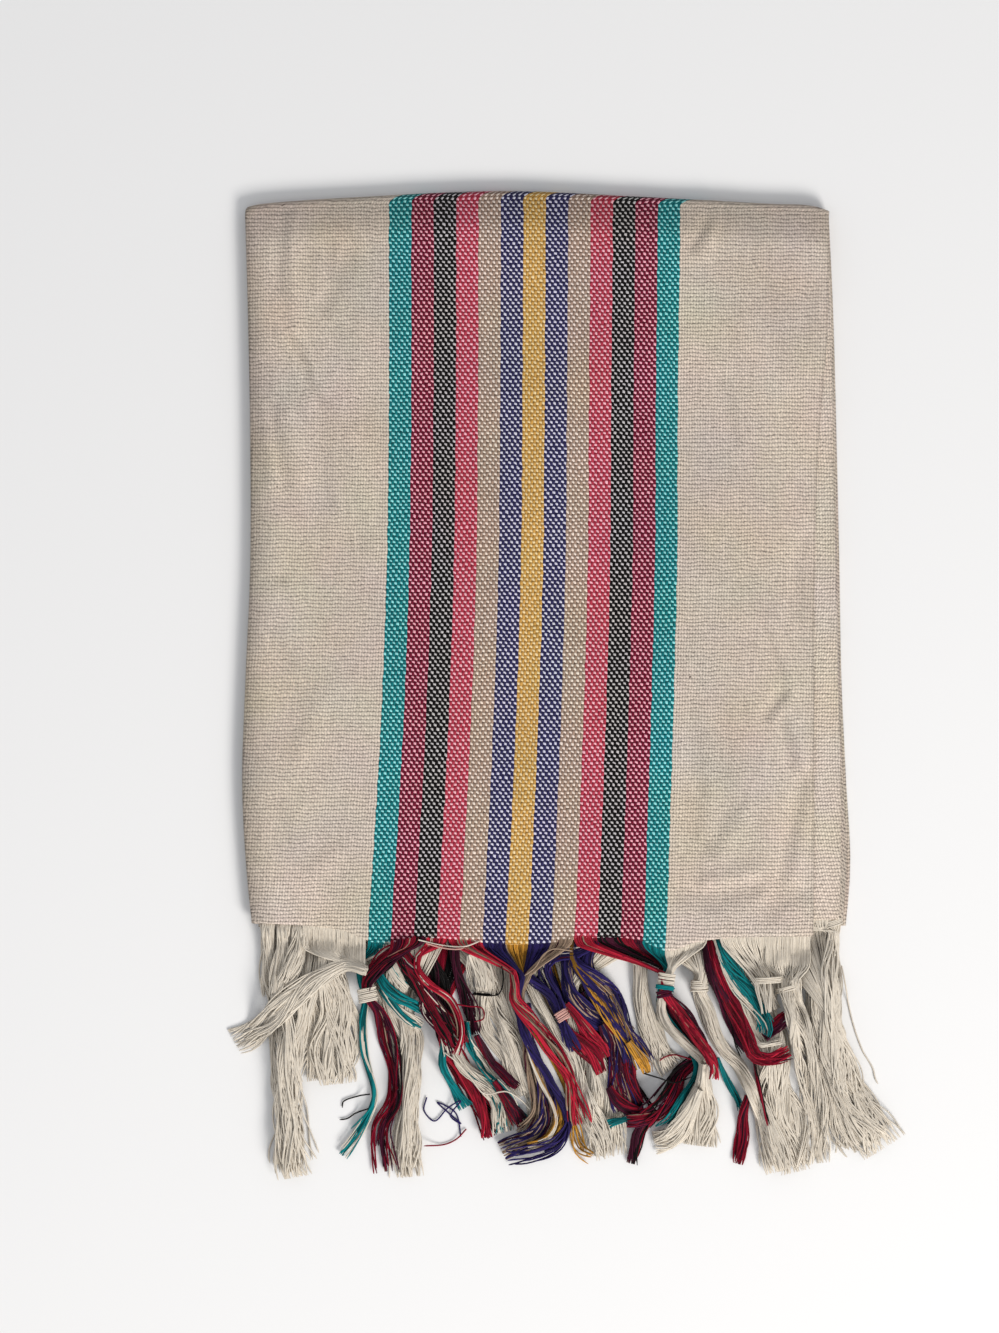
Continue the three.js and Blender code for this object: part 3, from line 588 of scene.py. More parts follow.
def plain_weave():
    """Hand-woven plain-weave cotton: matt, with round ends and picks a millimetre or so apart.

    A dyed end covers a cream pick and then goes under it, so the stripes are speckled with pale dots in
    staggered rows, and the plain cloth shows its picks as fine level lines.
    """
    material, tree = new_material("plain_weave_cotton")
    weave = add(tree, "UVMap", uv_map="weave_mm")

    # Ends and picks wander by a few tenths of a millimetre.
    drift = add(tree, "TexNoise", {"Vector": weave, "Scale": 0.16, "Detail": 4.0, "Roughness": 0.6})
    wander = add(tree, "VectorMath", {0: drift.outputs["Color"], 1: (0.5, 0.5, 0.5)}, operation="SUBTRACT")
    moved = add(tree, "VectorMath", {0: wander, 1: (1.3, 1.9, 0.0), 2: weave}, operation="MULTIPLY_ADD")
    pitches = (1 / WARP_PITCH, 1 / WEFT_PITCH, 0.0)
    threads = add(tree, "VectorMath", {0: moved, 1: pitches}, operation="MULTIPLY")
    cell = add(tree, "VectorMath", {0: threads}, operation="FLOOR")
    inside = add(tree, "VectorMath", {0: threads}, operation="FRACTION")
    centred = add(tree, "VectorMath", {0: inside, 1: (0.5, 0.5, 0.0)}, operation="SUBTRACT")

    # Where an end is in the pattern, which is the stripes with a plain one before them and one after.
    pattern = len(STRIPES) + 2
    end = 1 / (pattern * ENDS_PER_STRIPE)
    cell_x = add(tree, "SeparateXYZ", {0: cell})
    place = add(
        tree, "Math", {0: cell_x, 1: end, 2: (ENDS_PER_STRIPE + 0.5) * end}, operation="MULTIPLY_ADD"
    )
    dyed = add(tree, "Math", {0: place, 1: 0.5, 2: len(STRIPES) / pattern / 2}, operation="COMPARE")
    top, shows_pick = crossings(tree, threads, centred, dyed)
    end_colour, pick_colour = (stripe_colours(tree, place, table) for table in (DYES, PICK_TINTS))
    colour = add(tree, "MixRGB", {"Fac": shows_pick, "Color1": end_colour, "Color2": pick_colour})
    tone = weave_tone(tree, weave, threads, cell, centred, top)
    toned = add(tree, "VectorMath", {0: colour, "Scale": tone}, operation="SCALE")

    # Undyed cotton isn't one hue: parts are a little pinker, greyer or yellower, centimetres wide.
    hues = add(tree, "TexNoise", {"Vector": weave, "Scale": 0.035, "Detail": 2.0})
    tint = add(
        tree, "VectorMath",
        {0: hues.outputs["Color"], 1: (0.15, 0.1, 0.22), 2: (0.925, 0.95, 0.89)}, operation="MULTIPLY_ADD",
    )
    shaded = add(tree, "VectorMath", {0: toned, 1: tint}, operation="MULTIPLY")
    fleck = husk_flecks(tree, weave, dyed)
    flecked = add(tree, "MixRGB", {"Fac": fleck, "Color1": shaded, "Color2": linear(HUSK)})
    bump = add(tree, "Bump", {"Height": top, "Distance": 0.45 * MM, "Strength": 0.8})
    finish_material(tree, {
        "Base Color": flecked,
        "Normal": bump,
        "Roughness": 0.92,
        "Specular IOR Level": 0.12,
        "Sheen Weight": 0.08,
        "Sheen Roughness": 0.5,
    })
    return material


def make_cloth():
    points, weave, painted_shading = cloth_surface()
    rows, columns = points.shape[:2]
    bm = bmesh.new()
    bmesh.ops.create_grid(bm, x_segments=columns - 1, y_segments=rows - 1, size=1.0)
    uv = bm.loops.layers.uv.new("weave_mm")
    # Each point keeps its painted shade, from the folds, the outer selvedge and the creases.
    painted_shade = bm.verts.layers.float.new("painted_shade")
    placed = in_part_frame(points)
    for vertex in bm.verts:
        column = round((vertex.co.x + 1) / 2 * (columns - 1))
        row = round((vertex.co.y + 1) / 2 * (rows - 1))
        for loop in vertex.link_loops:
            loop[uv].uv = weave[row, column]
        vertex[painted_shade] = painted_shading[row, column]
        vertex.co = placed[row, column]
    for face in bm.faces:
        face.smooth = True
    mesh = bpy.data.meshes.new("towel_cloth")
    bm.to_mesh(mesh)
    bm.free()
    cloth = place_in_scene("towel_cloth", mesh)
    wall = cloth.modifiers.new("thickness", "SOLIDIFY")
    wall.thickness = CLOTH_THICKNESS * MM
    wall.offset = 0.0
    return finish_piece(cloth, ["cloth"], plain_weave())


cloth = make_cloth()

# The fringes. Each end opens into finer yarns below the hem. They cling together in plies, and a lock is a
# loose twist of plies with a soft heart in each, darkened as painted shade between the ply's yarns.
YARN_RADIUS = 0.3
YARNS_PER_END = 2
YARNS_PER_PLY = 8
YARNS_PER_MM = 10  # of a lock's half width, where its root isn't seen
PACKING = 0.8  # the share of a lock's section that its yarns fill
PATH_STEP = 2.0  # the distance between the points of a lock's line
SAMPLE = 1.0  # the distance between a yarn's points while it is laid
LINE_POINTS = 6  # the fewest points of any such line
YARN_POINTS = 4  # and of what is kept of a lock's line for a short yarn
KEPT_SAMPLES = {"fringe_front": 2, "fringe_back": 3}  # and every how many of them are kept
END_TAPER = 0.45  # a yarn's end, as a share of its radius
RING = 4  # the points round a yarn
FRINGE_SEED = 23

# A lock turns by up to this many radians along its length, or along this many millimetres if it is shorter.
LOCK_TURN = 1.6
TURN_REACH = 60
# A ply's half width is a share of its lock's, smaller among more plies, and never more than PLY_RADIUS.
PLY_SHARE = 1.1
WIDEST_PLY = 0.75
PLY_RADIUS = 2.0
PLY_CROWDING = 0.7  # how far plies keep in from the lock's edge, as a share of their own half width
PLY_TWIST = (0.06, 0.16)  # radians to the millimetre
SWAY_ACROSS = (0.16, 3.5, 9)  # a sway's size as a share of the lock's, and its shortest and longest waves
SWAY_UP = (0.12, 4, 9)
SWAY_START = 14  # a sway grows over this far from the lock's start
SECOND_WAVE = 0.6  # the smaller of a sway's two waves, as a share of the other
INNERMOST = 0.1  # how near to a ply's middle its yarns lie, as a share of its section
HEART_SHARE = 0.75  # a heart's radius, as a share of its ply's
UNEVEN_RADIUS = (0.85, 1.15)
SHORTER_BY = 0.15  # how much of its lock's length a yarn may fall short by, and a heart does

# Yarns stray from their ply, a few of them more than the rest, and all of them more towards their ends.
STRAY_SIZES = (0.05, 0.18)
STRAY_WAVES = (2, 6)
LOOSE_YARNS = 0.06
LOOSE_STRAY = 3.0
FLARE = 0.02
FLARE_START = 0.62  # as a share of the lock's length
FLARE_POWER = 1.5
FARTHEST_STRAY = 3

# Below its hem a yarn hangs free of the heap and then leans towards its lock.
BARE_REACH = 5
ROOT_REACH = 2
ROOT_LIFT = 0.1
INSIDE_HEM = (0.3, 1.5)
FIRST_BEND, SECOND_BEND = 0.8, 1.2
FIRST_LEAN = 0.3  # the share of its lean that a yarn has at its first bend
LEAN = 0.08
MOST_LEAN = 1.2

# The heap: yarns climb over what lies under them, and its own weight presses it where it is high.
STEEPEST = 0.65  # the most that a yarn climbs, as its rise over its run
PRESSED_ABOVE = 7
PRESSED_TO = 0.5
HEM_SLOPE = 0.9  # how fast the yarns of the layers below may rise past the front hem
LAYER_MIDDLE = {
    "front_outer": HALVES_PLANE + OUTER_LAYER_HEIGHT,
    "front_inner": HALVES_PLANE + INNER_LAYER_HEIGHT,
    "back_inner": HALVES_PLANE - INNER_LAYER_HEIGHT,
    "back_outer": HALVES_PLANE - OUTER_LAYER_HEIGHT,
    "back_dyed": HALVES_PLANE - OUTER_LAYER_HEIGHT,
}
UNDER_HEM = HALVES_PLANE + INNER_LAYER_HEIGHT  # as high as those yarns may be at the hem

# How light a yarn is beside its dye. Dyed yarns differ more than cream ones, with shares of each tone, and a
# few in a dyed lock come from another stripe.
CREAM_TONES = (0.88, 1.08)
DYED_TONES = (1.05, 0.82, 0.52)
TONE_SHARES = (0.45, 0.35, 0.2)
# A ply's heart is darker than its yarns: painted shade between them.
HEART_SHADE_TONES = {"cream": 0.88, "dyed": 0.38}
STRANGERS = 0.03
STRANGE_DYES = ("cream", "taupe", "maroon")
DYE_MIXING = 0.06  # how far a yarn may lie from its dye's place across the lock, as a share of the width


def hung(layer, roots, drop, path, dyes=""):
    """A lock whose yarns leave a stretch of their layer's hem. No dyes means the ends' own."""
    return layer, roots, drop, dyes.split(), np.array(path, float)


def loose(layer, dyes, path):
    """A lock that starts under the front hem or under another lock, so that its root isn't seen."""
    return layer, None, 0, dyes.split(), np.array(path, float)


# The locks, from the lowest up: the layer whose hem a lock hangs from, the stretch of hem that its yarns
# leave, how far they hang straight, the places it passes, each with half its width there, and its dyes from
# one side to the other. The first place is where the yarns are drawn together.
LOCKS = [
    # the lowest layer, seen between the others
    hung("back_outer", (-106, -66), 3,
        [(-95, -27, 3), (-96, -42, 5), (-97, -62, 5.5), (-96, -80, 6), (-95, -90, 6)]),
    hung("back_outer", (-66, -44), 3, [(-57, -13, 2), (-52, -24, 3), (-47, -29, 2)], "teal cream teal"),
    hung("back_outer", (-44, -23), 3, [(-40, -30, 2.4), (-33, -45, 3.5), (-25, -60, 4), (-17, -76, 4)]),
    hung("back_outer", (-23, -8), 3, [(2, -27, 2), (11, -40, 4), (18, -52, 5), (25, -62, 5)]),
    hung("back_outer", (-8, 12), 3,
        [(7, -20, 2.2), (7.5, -28, 1.8), (15, -36, 3), (21, -48, 4), (24, -62, 5)]),
    hung("back_outer", (12, 37), 3,
        [(14, -10, 2.5), (17, -24, 3.5), (25, -34, 5), (30, -46, 6), (32, -62, 6)]),
    hung("back_outer", (37, 74), 3, [(66, -14, 3), (74, -28, 3.4), (82, -40, 3), (89, -45, 2.4)]),
    hung("back_outer", (74, 113), 3, [(103, -15, 4), (106, -42, 6), (113, -60, 8), (124, -80, 9)]),
    loose("back_inner", "cream",
        [(-82, -10, 8), (-80.5, -24, 11), (-80.5, -38, 12), (-81, -50, 12), (-80.5, -55, 11)]),
    loose("back_inner", "cream", [(106, -16, 5), (108, -36, 8), (112, -56, 11), (122, -78, 13)]),
    loose("back_outer", "cream", [(85, -42, 5), (88, -56, 7), (91, -70, 7.5), (95, -86, 8)]),
    loose("back_outer", "maroon black crimson maroon black",
        [(-46, -4, 5), (-42, -16, 6.5), (-37, -30, 6), (-33, -40, 4)]),
    loose("back_outer", "maroon black indigo maroon black indigo",
        [(14, -20, 3), (20, -34, 6), (27, -48, 7.5), (33, -62, 7.5), (38, -70, 5)]),
    hung("back_inner", (-104, -76), 3,
        [(-90, -28, 3), (-95, -45, 4.5), (-97, -62, 5.5), (-95, -80, 6), (-93, -92, 6)]),
    hung("back_inner", (-76, -40), 3,
        [(-59, -25, 3), (-53, -40, 4), (-51, -56, 4), (-52, -76, 4.5), (-51, -92, 5)]),
    hung("back_inner", (-40, 0), 3, [(-14, -24, 3), (-10, -40, 5), (-4, -54, 6), (3, -70, 7)]),
    hung("back_inner", (0, 42), 3, [(10, -18, 3), (15, -34, 5), (22, -54, 6), (24, -84, 9)]),
    hung("back_inner", (42, 80), 3, [(77, -22, 3), (84, -44, 5), (90, -62, 7), (97, -90, 8)]),
    hung("back_inner", (80, 111), 3, [(108, -27, 3.5), (110, -44, 6), (117, -60, 9), (130, -81, 11)]),
    # the layer under the top one: plain ends, in thick cords at the left
    hung("front_inner", (-107, -101), 2,
        [(-103.6, -4, 2.6), (-104.2, -14, 3), (-102.5, -26, 3), (-102, -40, 3.4), (-100, -62, 4),
         (-98, -88, 4.6)]),
    hung("front_inner", (-101, -94), 2,
        [(-98.6, -5, 2.8), (-99.4, -16, 3.2), (-99, -28, 3.2), (-98, -44, 3.6), (-96.5, -64, 4),
         (-93, -90, 4.8)]),
    hung("front_inner", (-94, -86), 2,
        [(-92.5, -1, 2.8), (-94, -9, 3), (-97, -20, 3.2), (-95.5, -36, 3.6), (-94.5, -56, 4), (-90, -86, 5)]),
    loose("front_inner", "cream",
        [(-103.4, 9, 2.6), (-104, 2, 3), (-104.4, -7, 3.4), (-104.4, -15, 3.4), (-102.5, -23, 2.8)]),
    loose("front_inner", "cream",
        [(-97.6, 9, 2.8), (-98.4, 2, 3.4), (-99.4, -7, 3.8), (-100, -16, 3.6), (-99, -25, 3)]),
    loose("front_inner", "cream",
        [(-91, 8.5, 2.8), (-91.6, 3, 3.4), (-92.6, -3, 3.6), (-95, -11, 3.4), (-98, -18, 3)]),
    hung("front_inner", (-86, -60), 4,
        [(-80, -14, 6.5), (-77.5, -24, 9), (-78, -38, 10.5), (-79.5, -50, 11.5), (-79, -57, 11)]),
    hung("front_inner", (-60, -36), 4,
        [(-52, -26, 3), (-49.5, -38, 5), (-49.5, -48, 4.5), (-50, -58, 4), (-51, -72, 4.5),
         (-51.5, -88, 5.5)]),
    hung("front_inner", (-36, -8), 3,
        [(-22, -9, 5), (-21, -16, 5), (-21.5, -22, 4.6), (-19, -32, 7), (-14, -43, 7.6), (-9, -53, 7),
         (-5, -60, 6)]),
    loose("front_inner", "cream", [(-27, -5, 2), (-24.5, -10, 5.5), (-22.4, -16, 6.4), (-21.4, -21, 4.8)]),
    hung("front_inner", (-8, 8), 3,
        [(-5, -17, 2.2), (0, -26, 2.4), (6, -36, 2.4), (11, -44, 2.6), (15, -56, 4), (19, -68, 6),
         (24, -85, 8)]),
    hung("front_inner", (8, 38), 3,
        [(36.7, -9, 2.8), (37.3, -19, 2.7), (38.5, -26, 3), (41, -35, 4.4), (46, -44, 5.4), (51, -50, 5)]),
    hung("front_inner", (72, 95), 6,
        [(85, -18, 5), (85, -27, 5.5), (88, -38, 6), (87, -52, 7), (88, -68, 8), (92, -86, 9)]),
    loose("back_dyed", "teal", [(66, -45, 1), (70, -54, 1.3), (74, -61, 1.5), (76.5, -66, 1.5)]),
    loose("back_dyed", "crimson maroon crimson",
        [(77.4, -59, 1), (75.8, -66, 2.2), (76, -75, 2.8), (73, -87, 2.4)]),
    hung("front_inner", (38, 72), 4,
        [(59.5, -13, 3), (59, -19, 2.8), (62, -26.5, 3), (64.5, -35, 3.2), (69, -42, 3.4), (74.3, -48, 3.4),
         (78.2, -56, 3.6), (82, -64, 4), (86, -76, 4.6), (91, -89, 5)]),
    hung("front_inner", (95, 112), 2,
        [(109.5, 3, 3.2), (109.5, -8, 5.5), (110, -22, 6.5), (112, -38, 7), (115, -52, 7.5), (118, -60, 8)]),
    # coloured locks of the lowest layer that come out over the plain ones
    loose("back_dyed", "maroon black maroon maroon",
        [(-34, 2.5, 2), (-33, -8, 2), (-31, -17, 3), (-27.8, -28, 3.2), (-25.6, -38, 1.6)]),
    loose("back_dyed", "cream teal cream", [(-61, 2.5, 2.5), (-58, -7, 3), (-55, -13, 3.2), (-49, -19, 3)]),
    loose("back_dyed", "cream teal cream",
        [(-61, -18, 2), (-56, -25, 2.6), (-51, -30, 2.8), (-44, -34, 2.4)]),
    loose("back_dyed", "teal",
        [(-63.5, -9, 1.6), (-59.5, -17, 2), (-54.5, -22, 2.2), (-47, -25.6, 2.2), (-43, -27.5, 2)]),
    loose("back_dyed", "coral crimson coral crimson",
        [(-38, -33, 1.6), (-37, -42, 2), (-32, -48.5, 2.6), (-26.5, -57, 3), (-22.5, -66, 2.6),
         (-21.5, -77, 2.4)]),
    loose("back_dyed", "teal", [(-37, -38, 1.4), (-37.5, -48, 1.8), (-33, -57.5, 2), (-28, -65.5, 2.6)]),
    loose("back_dyed", "cream cream cream teal cream",
        [(-34, -35, 1.6), (-31.5, -45.5, 2.2), (-22.5, -54.5, 3), (-17, -62, 3.4), (-14.5, -75, 4)]),
    loose("back_dyed", "teal teal cream",
        [(-29, -31, 1.6), (-28, -39, 2), (-22.5, -48, 2.2), (-17.5, -54.5, 2.2), (-12, -59, 2)]),
    loose("back_dyed", "crimson maroon",
        [(-25, -36, 1.2), (-20.5, -45, 2), (-14.5, -51, 2.2), (-8, -57, 1.8)]),
    loose("back_dyed", "crimson maroon teal maroon",
        [(-18, -53, 1.4), (-13, -60, 2.6), (-9, -67, 3), (-6, -73, 2.4)]),
    loose("back_dyed", "maroon cream maroon cream",
        [(-44, -16, 1.2), (-45, -25, 1.8), (-38.5, -34, 2), (-34.5, -45, 1.8)]),
    loose("back_dyed", "crimson black crimson maroon crimson",
        [(-56, 2.5, 2.5), (-53, -6, 3), (-49, -13, 4), (-42.5, -23, 4.6), (-36, -32, 4.6),
         (-31.5, -42, 3.4)]),
    loose("back_dyed", "indigo taupe indigo",
        [(9, 2.5, 2), (8.5, -8, 2.6), (10, -19, 3), (17, -27, 3.4), (26, -32.5, 3.4), (33, -39, 3.6)]),
    loose("back_dyed", "indigo maroon taupe crimson maroon indigo crimson maroon",
        [(23, -31, 3), (27.5, -39, 5), (29, -47, 6), (31, -56, 6.4), (34, -65, 6)]),
    loose("back_dyed", "coral crimson coral",
        [(8.5, -24, 1.6), (12, -28, 2.2), (17, -34.6, 3), (22, -40, 3), (25, -46, 2)]),
    loose("back_dyed", "crimson coral crimson",
        [(7, -27, 1.6), (8, -32, 2), (13.2, -38, 3), (19, -45, 3), (22.6, -52, 1.8)]),
    loose("back_dyed", "indigo taupe indigo maroon indigo",
        [(20, 1, 2), (17, -8, 3), (20, -17, 4), (26, -27, 4), (31, -37, 3.6), (35, -47, 3)]),
    loose("back_dyed", "mustard indigo mustard indigo taupe indigo indigo",
        [(12, 2.5, 1.6), (11.5, -7.5, 2), (17, -14, 4.4), (25.5, -23, 6), (31, -33, 4), (35.4, -41, 3.4),
         (39.6, -49, 3)]),
    loose("back_dyed", "mustard mustard taupe",
        [(32, -38, 1.2), (35.6, -43, 2), (38.8, -47, 2.4), (40, -52, 1.6)]),
    loose("back_dyed", "indigo cream indigo indigo",
        [(20, 0, 2), (14, -4.2, 2.4), (5, -4.6, 2.6), (1.2, -9.5, 2.6), (2.6, -15.5, 2.6), (5, -21.3, 2.4),
         (7, -28, 1.8)]),
    loose("back_dyed", "maroon black maroon crimson",
        [(25, -55, 1.6), (28, -60, 2.6), (34, -64, 2.8), (41, -66, 2.4)]),
    loose("back_dyed", "maroon crimson black",
        [(42, -64, 2), (37, -72, 2.6), (35, -79, 2.6), (33, -87, 2.4)]),
    loose("back_dyed", "teal", [(33, -67, 1.4), (26.5, -68.5, 2), (22.5, -70, 2)]),
    loose("back_dyed", "crimson maroon crimson",
        [(53, -59, 2), (44, -65.5, 3), (36, -68, 3), (29.5, -68.5, 3)]),
    loose("back_dyed", "cream",
        [(72, -16, 1), (77, -31, 1.2), (81, -39, 1.4), (86, -38.5, 1.2), (92, -37.5, 1)]),
    loose("back_dyed", "maroon crimson", [(83, -36, 2.2), (88.5, -31.5, 3), (94, -28, 2.6)]),
    loose("back_dyed", "crimson black", [(79, -43, 0.4), (80, -48, 0.5), (82, -58, 0.5), (85, -72, 0.6)]),
    loose("back_dyed", "maroon black maroon",
        [(60.4, 2.5, 1), (62, -8, 1.2), (66, -20, 1.5), (70.4, -31, 1.8), (74.4, -39, 1.8), (78, -44, 1)]),
    loose("back_dyed", "maroon crimson coral crimson crimson",
        [(63, 2.5, 2), (64.8, -8, 2.8), (69, -19, 3.2), (73.4, -29, 3.4), (76.4, -37.2, 3.4),
         (79.4, -43.4, 3), (85.3, -44.7, 2.8), (95, -41.4, 2.6)]),
    loose("back_dyed", "cream teal teal teal teal",
        [(64.6, 2.5, 2.2), (67, -3.8, 3), (71.4, -11.6, 3.6), (77.4, -20, 3.8), (82, -28, 3.4),
         (83.8, -34, 2.4), (82, -37, 1.8)]),
    # the top layer
    hung("front_outer", (-66, -57.4), 1,
        [(-69, -9, 2.4), (-68, -16, 2), (-66.5, -22, 1.6), (-67.5, -31, 1.8), (-67.5, -44, 1.8),
         (-63.5, -60, 1.7), (-68, -70, 1.5), (-78, -83, 2)], "teal teal teal cream"),
    loose("front_outer", "crimson maroon black",
        [(-51, -1, 2), (-57, -5, 3.4), (-63, -11, 3.6), (-67, -16, 2.6), (-66, -21, 1.8)]),
    hung("front_outer", (-57.4, -44), 1,
        [(-60.6, -8, 3.6), (-66.6, -15.5, 3), (-65.5, -22, 2), (-62, -27, 2.6), (-59, -37, 4),
         (-56, -48, 5), (-57, -61, 4.2), (-61, -71, 3), (-61, -79, 2.6),
         (-59, -90, 2.8)], "crimson maroon crimson crimson black maroon"),
    hung("front_outer", (-91, -67), 8,
        [(-66.5, -11.5, 2.4), (-74, -9.5, 3.2), (-84, -14, 4), (-92, -21, 5), (-102, -30, 6),
         (-112, -37.5, 7), (-118, -41, 7)]),
    hung("front_outer", (-44, -36), 1,
        [(-46.8, -6, 1.5), (-47.2, -10, 1.5), (-43.3, -15.8, 1.7), (-34.5, -23.5, 2), (-30.5, -34.6, 2.2),
         (-33, -45, 2.6)], "coral crimson coral"),
    hung("front_outer", (-10, -5.7), 1,
        [(-7.6, -12.6, 0.9), (-9, -22, 1), (-4, -33, 1.2), (4, -46, 1.3), (9.5, -58, 1.3), (11, -70, 1.4),
         (13, -80, 2.2), (20, -84, 3)]),
    hung("front_outer", (-14.3, -10), 1,
        [(-7.8, -12.6, 0.9), (-8, -22, 0.9), (-5.6, -38, 0.9), (-2.5, -48, 0.9), (1.6, -54.6, 0.9),
         (4.9, -60, 0.9), (6.8, -66, 1), (6.1, -71.5, 1), (2, -75.6, 1), (-4, -76.6, 1.2), (-11, -78, 1.6)]),
    hung("front_outer", (-5.7, 3), 1,
        [(-6.5, -13, 1.5), (-2.4, -16.5, 2), (2.4, -21, 2.2), (5, -26, 2), (8, -32, 2.4), (12, -44, 3)]),
    hung("front_outer", (3, 11.5), 1,
        [(-5.5, -12.5, 1.2), (-8, -20, 1.2), (-7.4, -34, 1.2), (-6, -46, 1.4), (-3.6, -56, 1.6),
         (-2.2, -65, 1.8), (-6, -72, 2), (-13, -76, 2)]),
    loose("front_outer", "indigo taupe maroon indigo taupe indigo",
        [(-6, -24, 1.4), (-4.4, -40, 2), (-1.6, -50, 3), (1, -60, 3.6), (1.6, -68, 3.6), (-2.4, -74.5, 3.2),
         (-10, -78.5, 3), (-17, -82, 2.6)]),
    loose("front_outer", "cream taupe mustard",
        [(-7, -34, 0.4), (-5, -44, 0.6), (-1, -53, 0.8), (3.4, -62, 0.8), (4.6, -69, 0.8), (0.6, -75, 0.9),
         (-8, -77.6, 1)]),
    hung("front_outer", (-23, -14.3), 1,
        [(-8.5, -12.5, 1.5), (-9.4, -24, 2), (-7.4, -34, 2), (-1.6, -46, 1.8), (4.6, -56, 1.8),
         (8.8, -64.5, 1.8), (9.6, -70.5, 1.9), (5.4, -77.4, 2), (-5, -81, 2.4), (-15.5, -83, 2.8)]),
    hung("front_outer", (-36, -23), 1,
        [(-11.5, -11.8, 1.6), (-10.5, -17, 1.8), (-10.5, -22, 2.2), (-6, -28.6, 3), (0, -36, 3.4),
         (6, -44, 3.4), (10.2, -53, 3), (12, -62, 3),
         (14, -72, 3.4)], "coral coral taupe coral crimson coral"),
    hung("front_outer", (20.1, 37.3), 1,
        [(45.5, -11, 1.5), (45, -18, 1.6), (49, -28, 2), (56, -39, 2.2), (58.5, -45, 2.8), (52, -51, 3.6),
         (48.3, -57, 4), (43, -63, 4.2), (36, -68, 4)], "black maroon black crimson crimson maroon"),
    hung("front_outer", (37.3, 46), 1,
        [(47, -11, 1.4), (45, -18, 1.4), (44.8, -25, 1.8), (49.8, -34, 2), (56.2, -42.4, 2), (58, -50, 2),
         (54, -59, 2), (48.5, -67.4, 2.2), (41, -72, 2.4)]),
    hung("front_outer", (46, 62), 1,
        [(48.3, -10.5, 1.8), (46, -17, 1.8), (45, -26.5, 1.8), (48, -33.6, 2), (55.5, -41, 2.2),
         (60.6, -46, 2.2), (60.6, -53, 2.6), (58, -64, 8), (56, -80, 11)]),
    loose("front_outer", "cream", [(60.5, -46, 1.4), (60.5, -54, 3), (60, -64, 7), (58, -80, 10)]),
    loose("front_outer", "cream", [(59, -56, 1.6), (53, -69, 4), (47, -75, 5), (40, -77, 4)]),
    loose("front_outer", "crimson coral crimson maroon",
        [(45.6, -19, 1.4), (51.5, -27, 2.8), (56, -33.6, 3.2), (61.3, -41.4, 2.8), (64.5, -47.5, 2)]),
    hung("front_outer", (11.5, 20.1), 1,
        [(44.5, -12, 1.2), (45.5, -19, 1.6), (51.8, -27, 2.8), (56.4, -33.6, 3.2), (61.5, -41.4, 2.6),
         (64.5, -47.5, 1.8), (63.9, -54, 1.6)], "coral crimson coral crimson"),
    hung("front_outer", (66.5, 84), 1.5, [(83.6, -15.5, 6.4), (84.6, -20, 6), (86.6, -29, 4.6)]),
    loose("front_inner", "cream",
        [(93, -15, 4.4), (94, -23, 4.6), (96.4, -31, 5), (99, -39, 5), (100.5, -46, 4)]),
    hung("front_outer", (84, 101), 10,
        [(92.6, -15.5, 5), (93.2, -22, 5), (95.4, -30, 5.2), (97.6, -38, 5.6), (101, -54, 8), (104, -87, 9)]),
]

# Turns of yarn round a gathered lock: the layer, the place, the direction the lock runs, half its width,
# the turns and their dye.
BINDINGS = [
    ("front_outer", -66.2, -20.6, -80, 3.4, 8, "cream"),
    ("front_outer", 46.4, -14.6, -100, 3.0, 7, "cream"),
    ("front_outer", 45.8, -17.6, -100, 3.3, 3, "teal"),
    ("front_outer", 45.6, -20.0, -80, 2.8, 4, "maroon"),
    ("back_outer", 7.3, -28.2, -60, 2.4, 6, "pink"),
    ("front_inner", 59.1, -17.5, -90, 3.2, 6, "cream"),
    ("front_outer", 84.6, -15.4, -88, 6, 4, "cream"),
    ("front_outer", 93.0, -18.4, -75, 4.8, 3, "cream"),
    ("front_inner", 110.0, 6.0, -75, 3.2, 4, "cream"),
    ("front_inner", -21.2, -20.6, -95, 5.2, 1, "black"),
]
BINDING_RADIUS = 1.25  # as a share of a yarn's
BINDING_PITCH = 2.2  # from one turn to the next, in radii of a yarn
BINDING_HEIGHT = 0.7  # the most of a binding's half height, as a share of its half width
BINDING_LIFT = 0.2  # how far it stands proud of its lock
BINDING_SPREAD = 0.1  # how unevenly its turns lie
BINDING_SWELL = 0.06  # and how unevenly wide they are, as a share
BINDING_START = 0.1  # the first turn's start, in radians
BINDING_STEPS = 14  # points in a turn

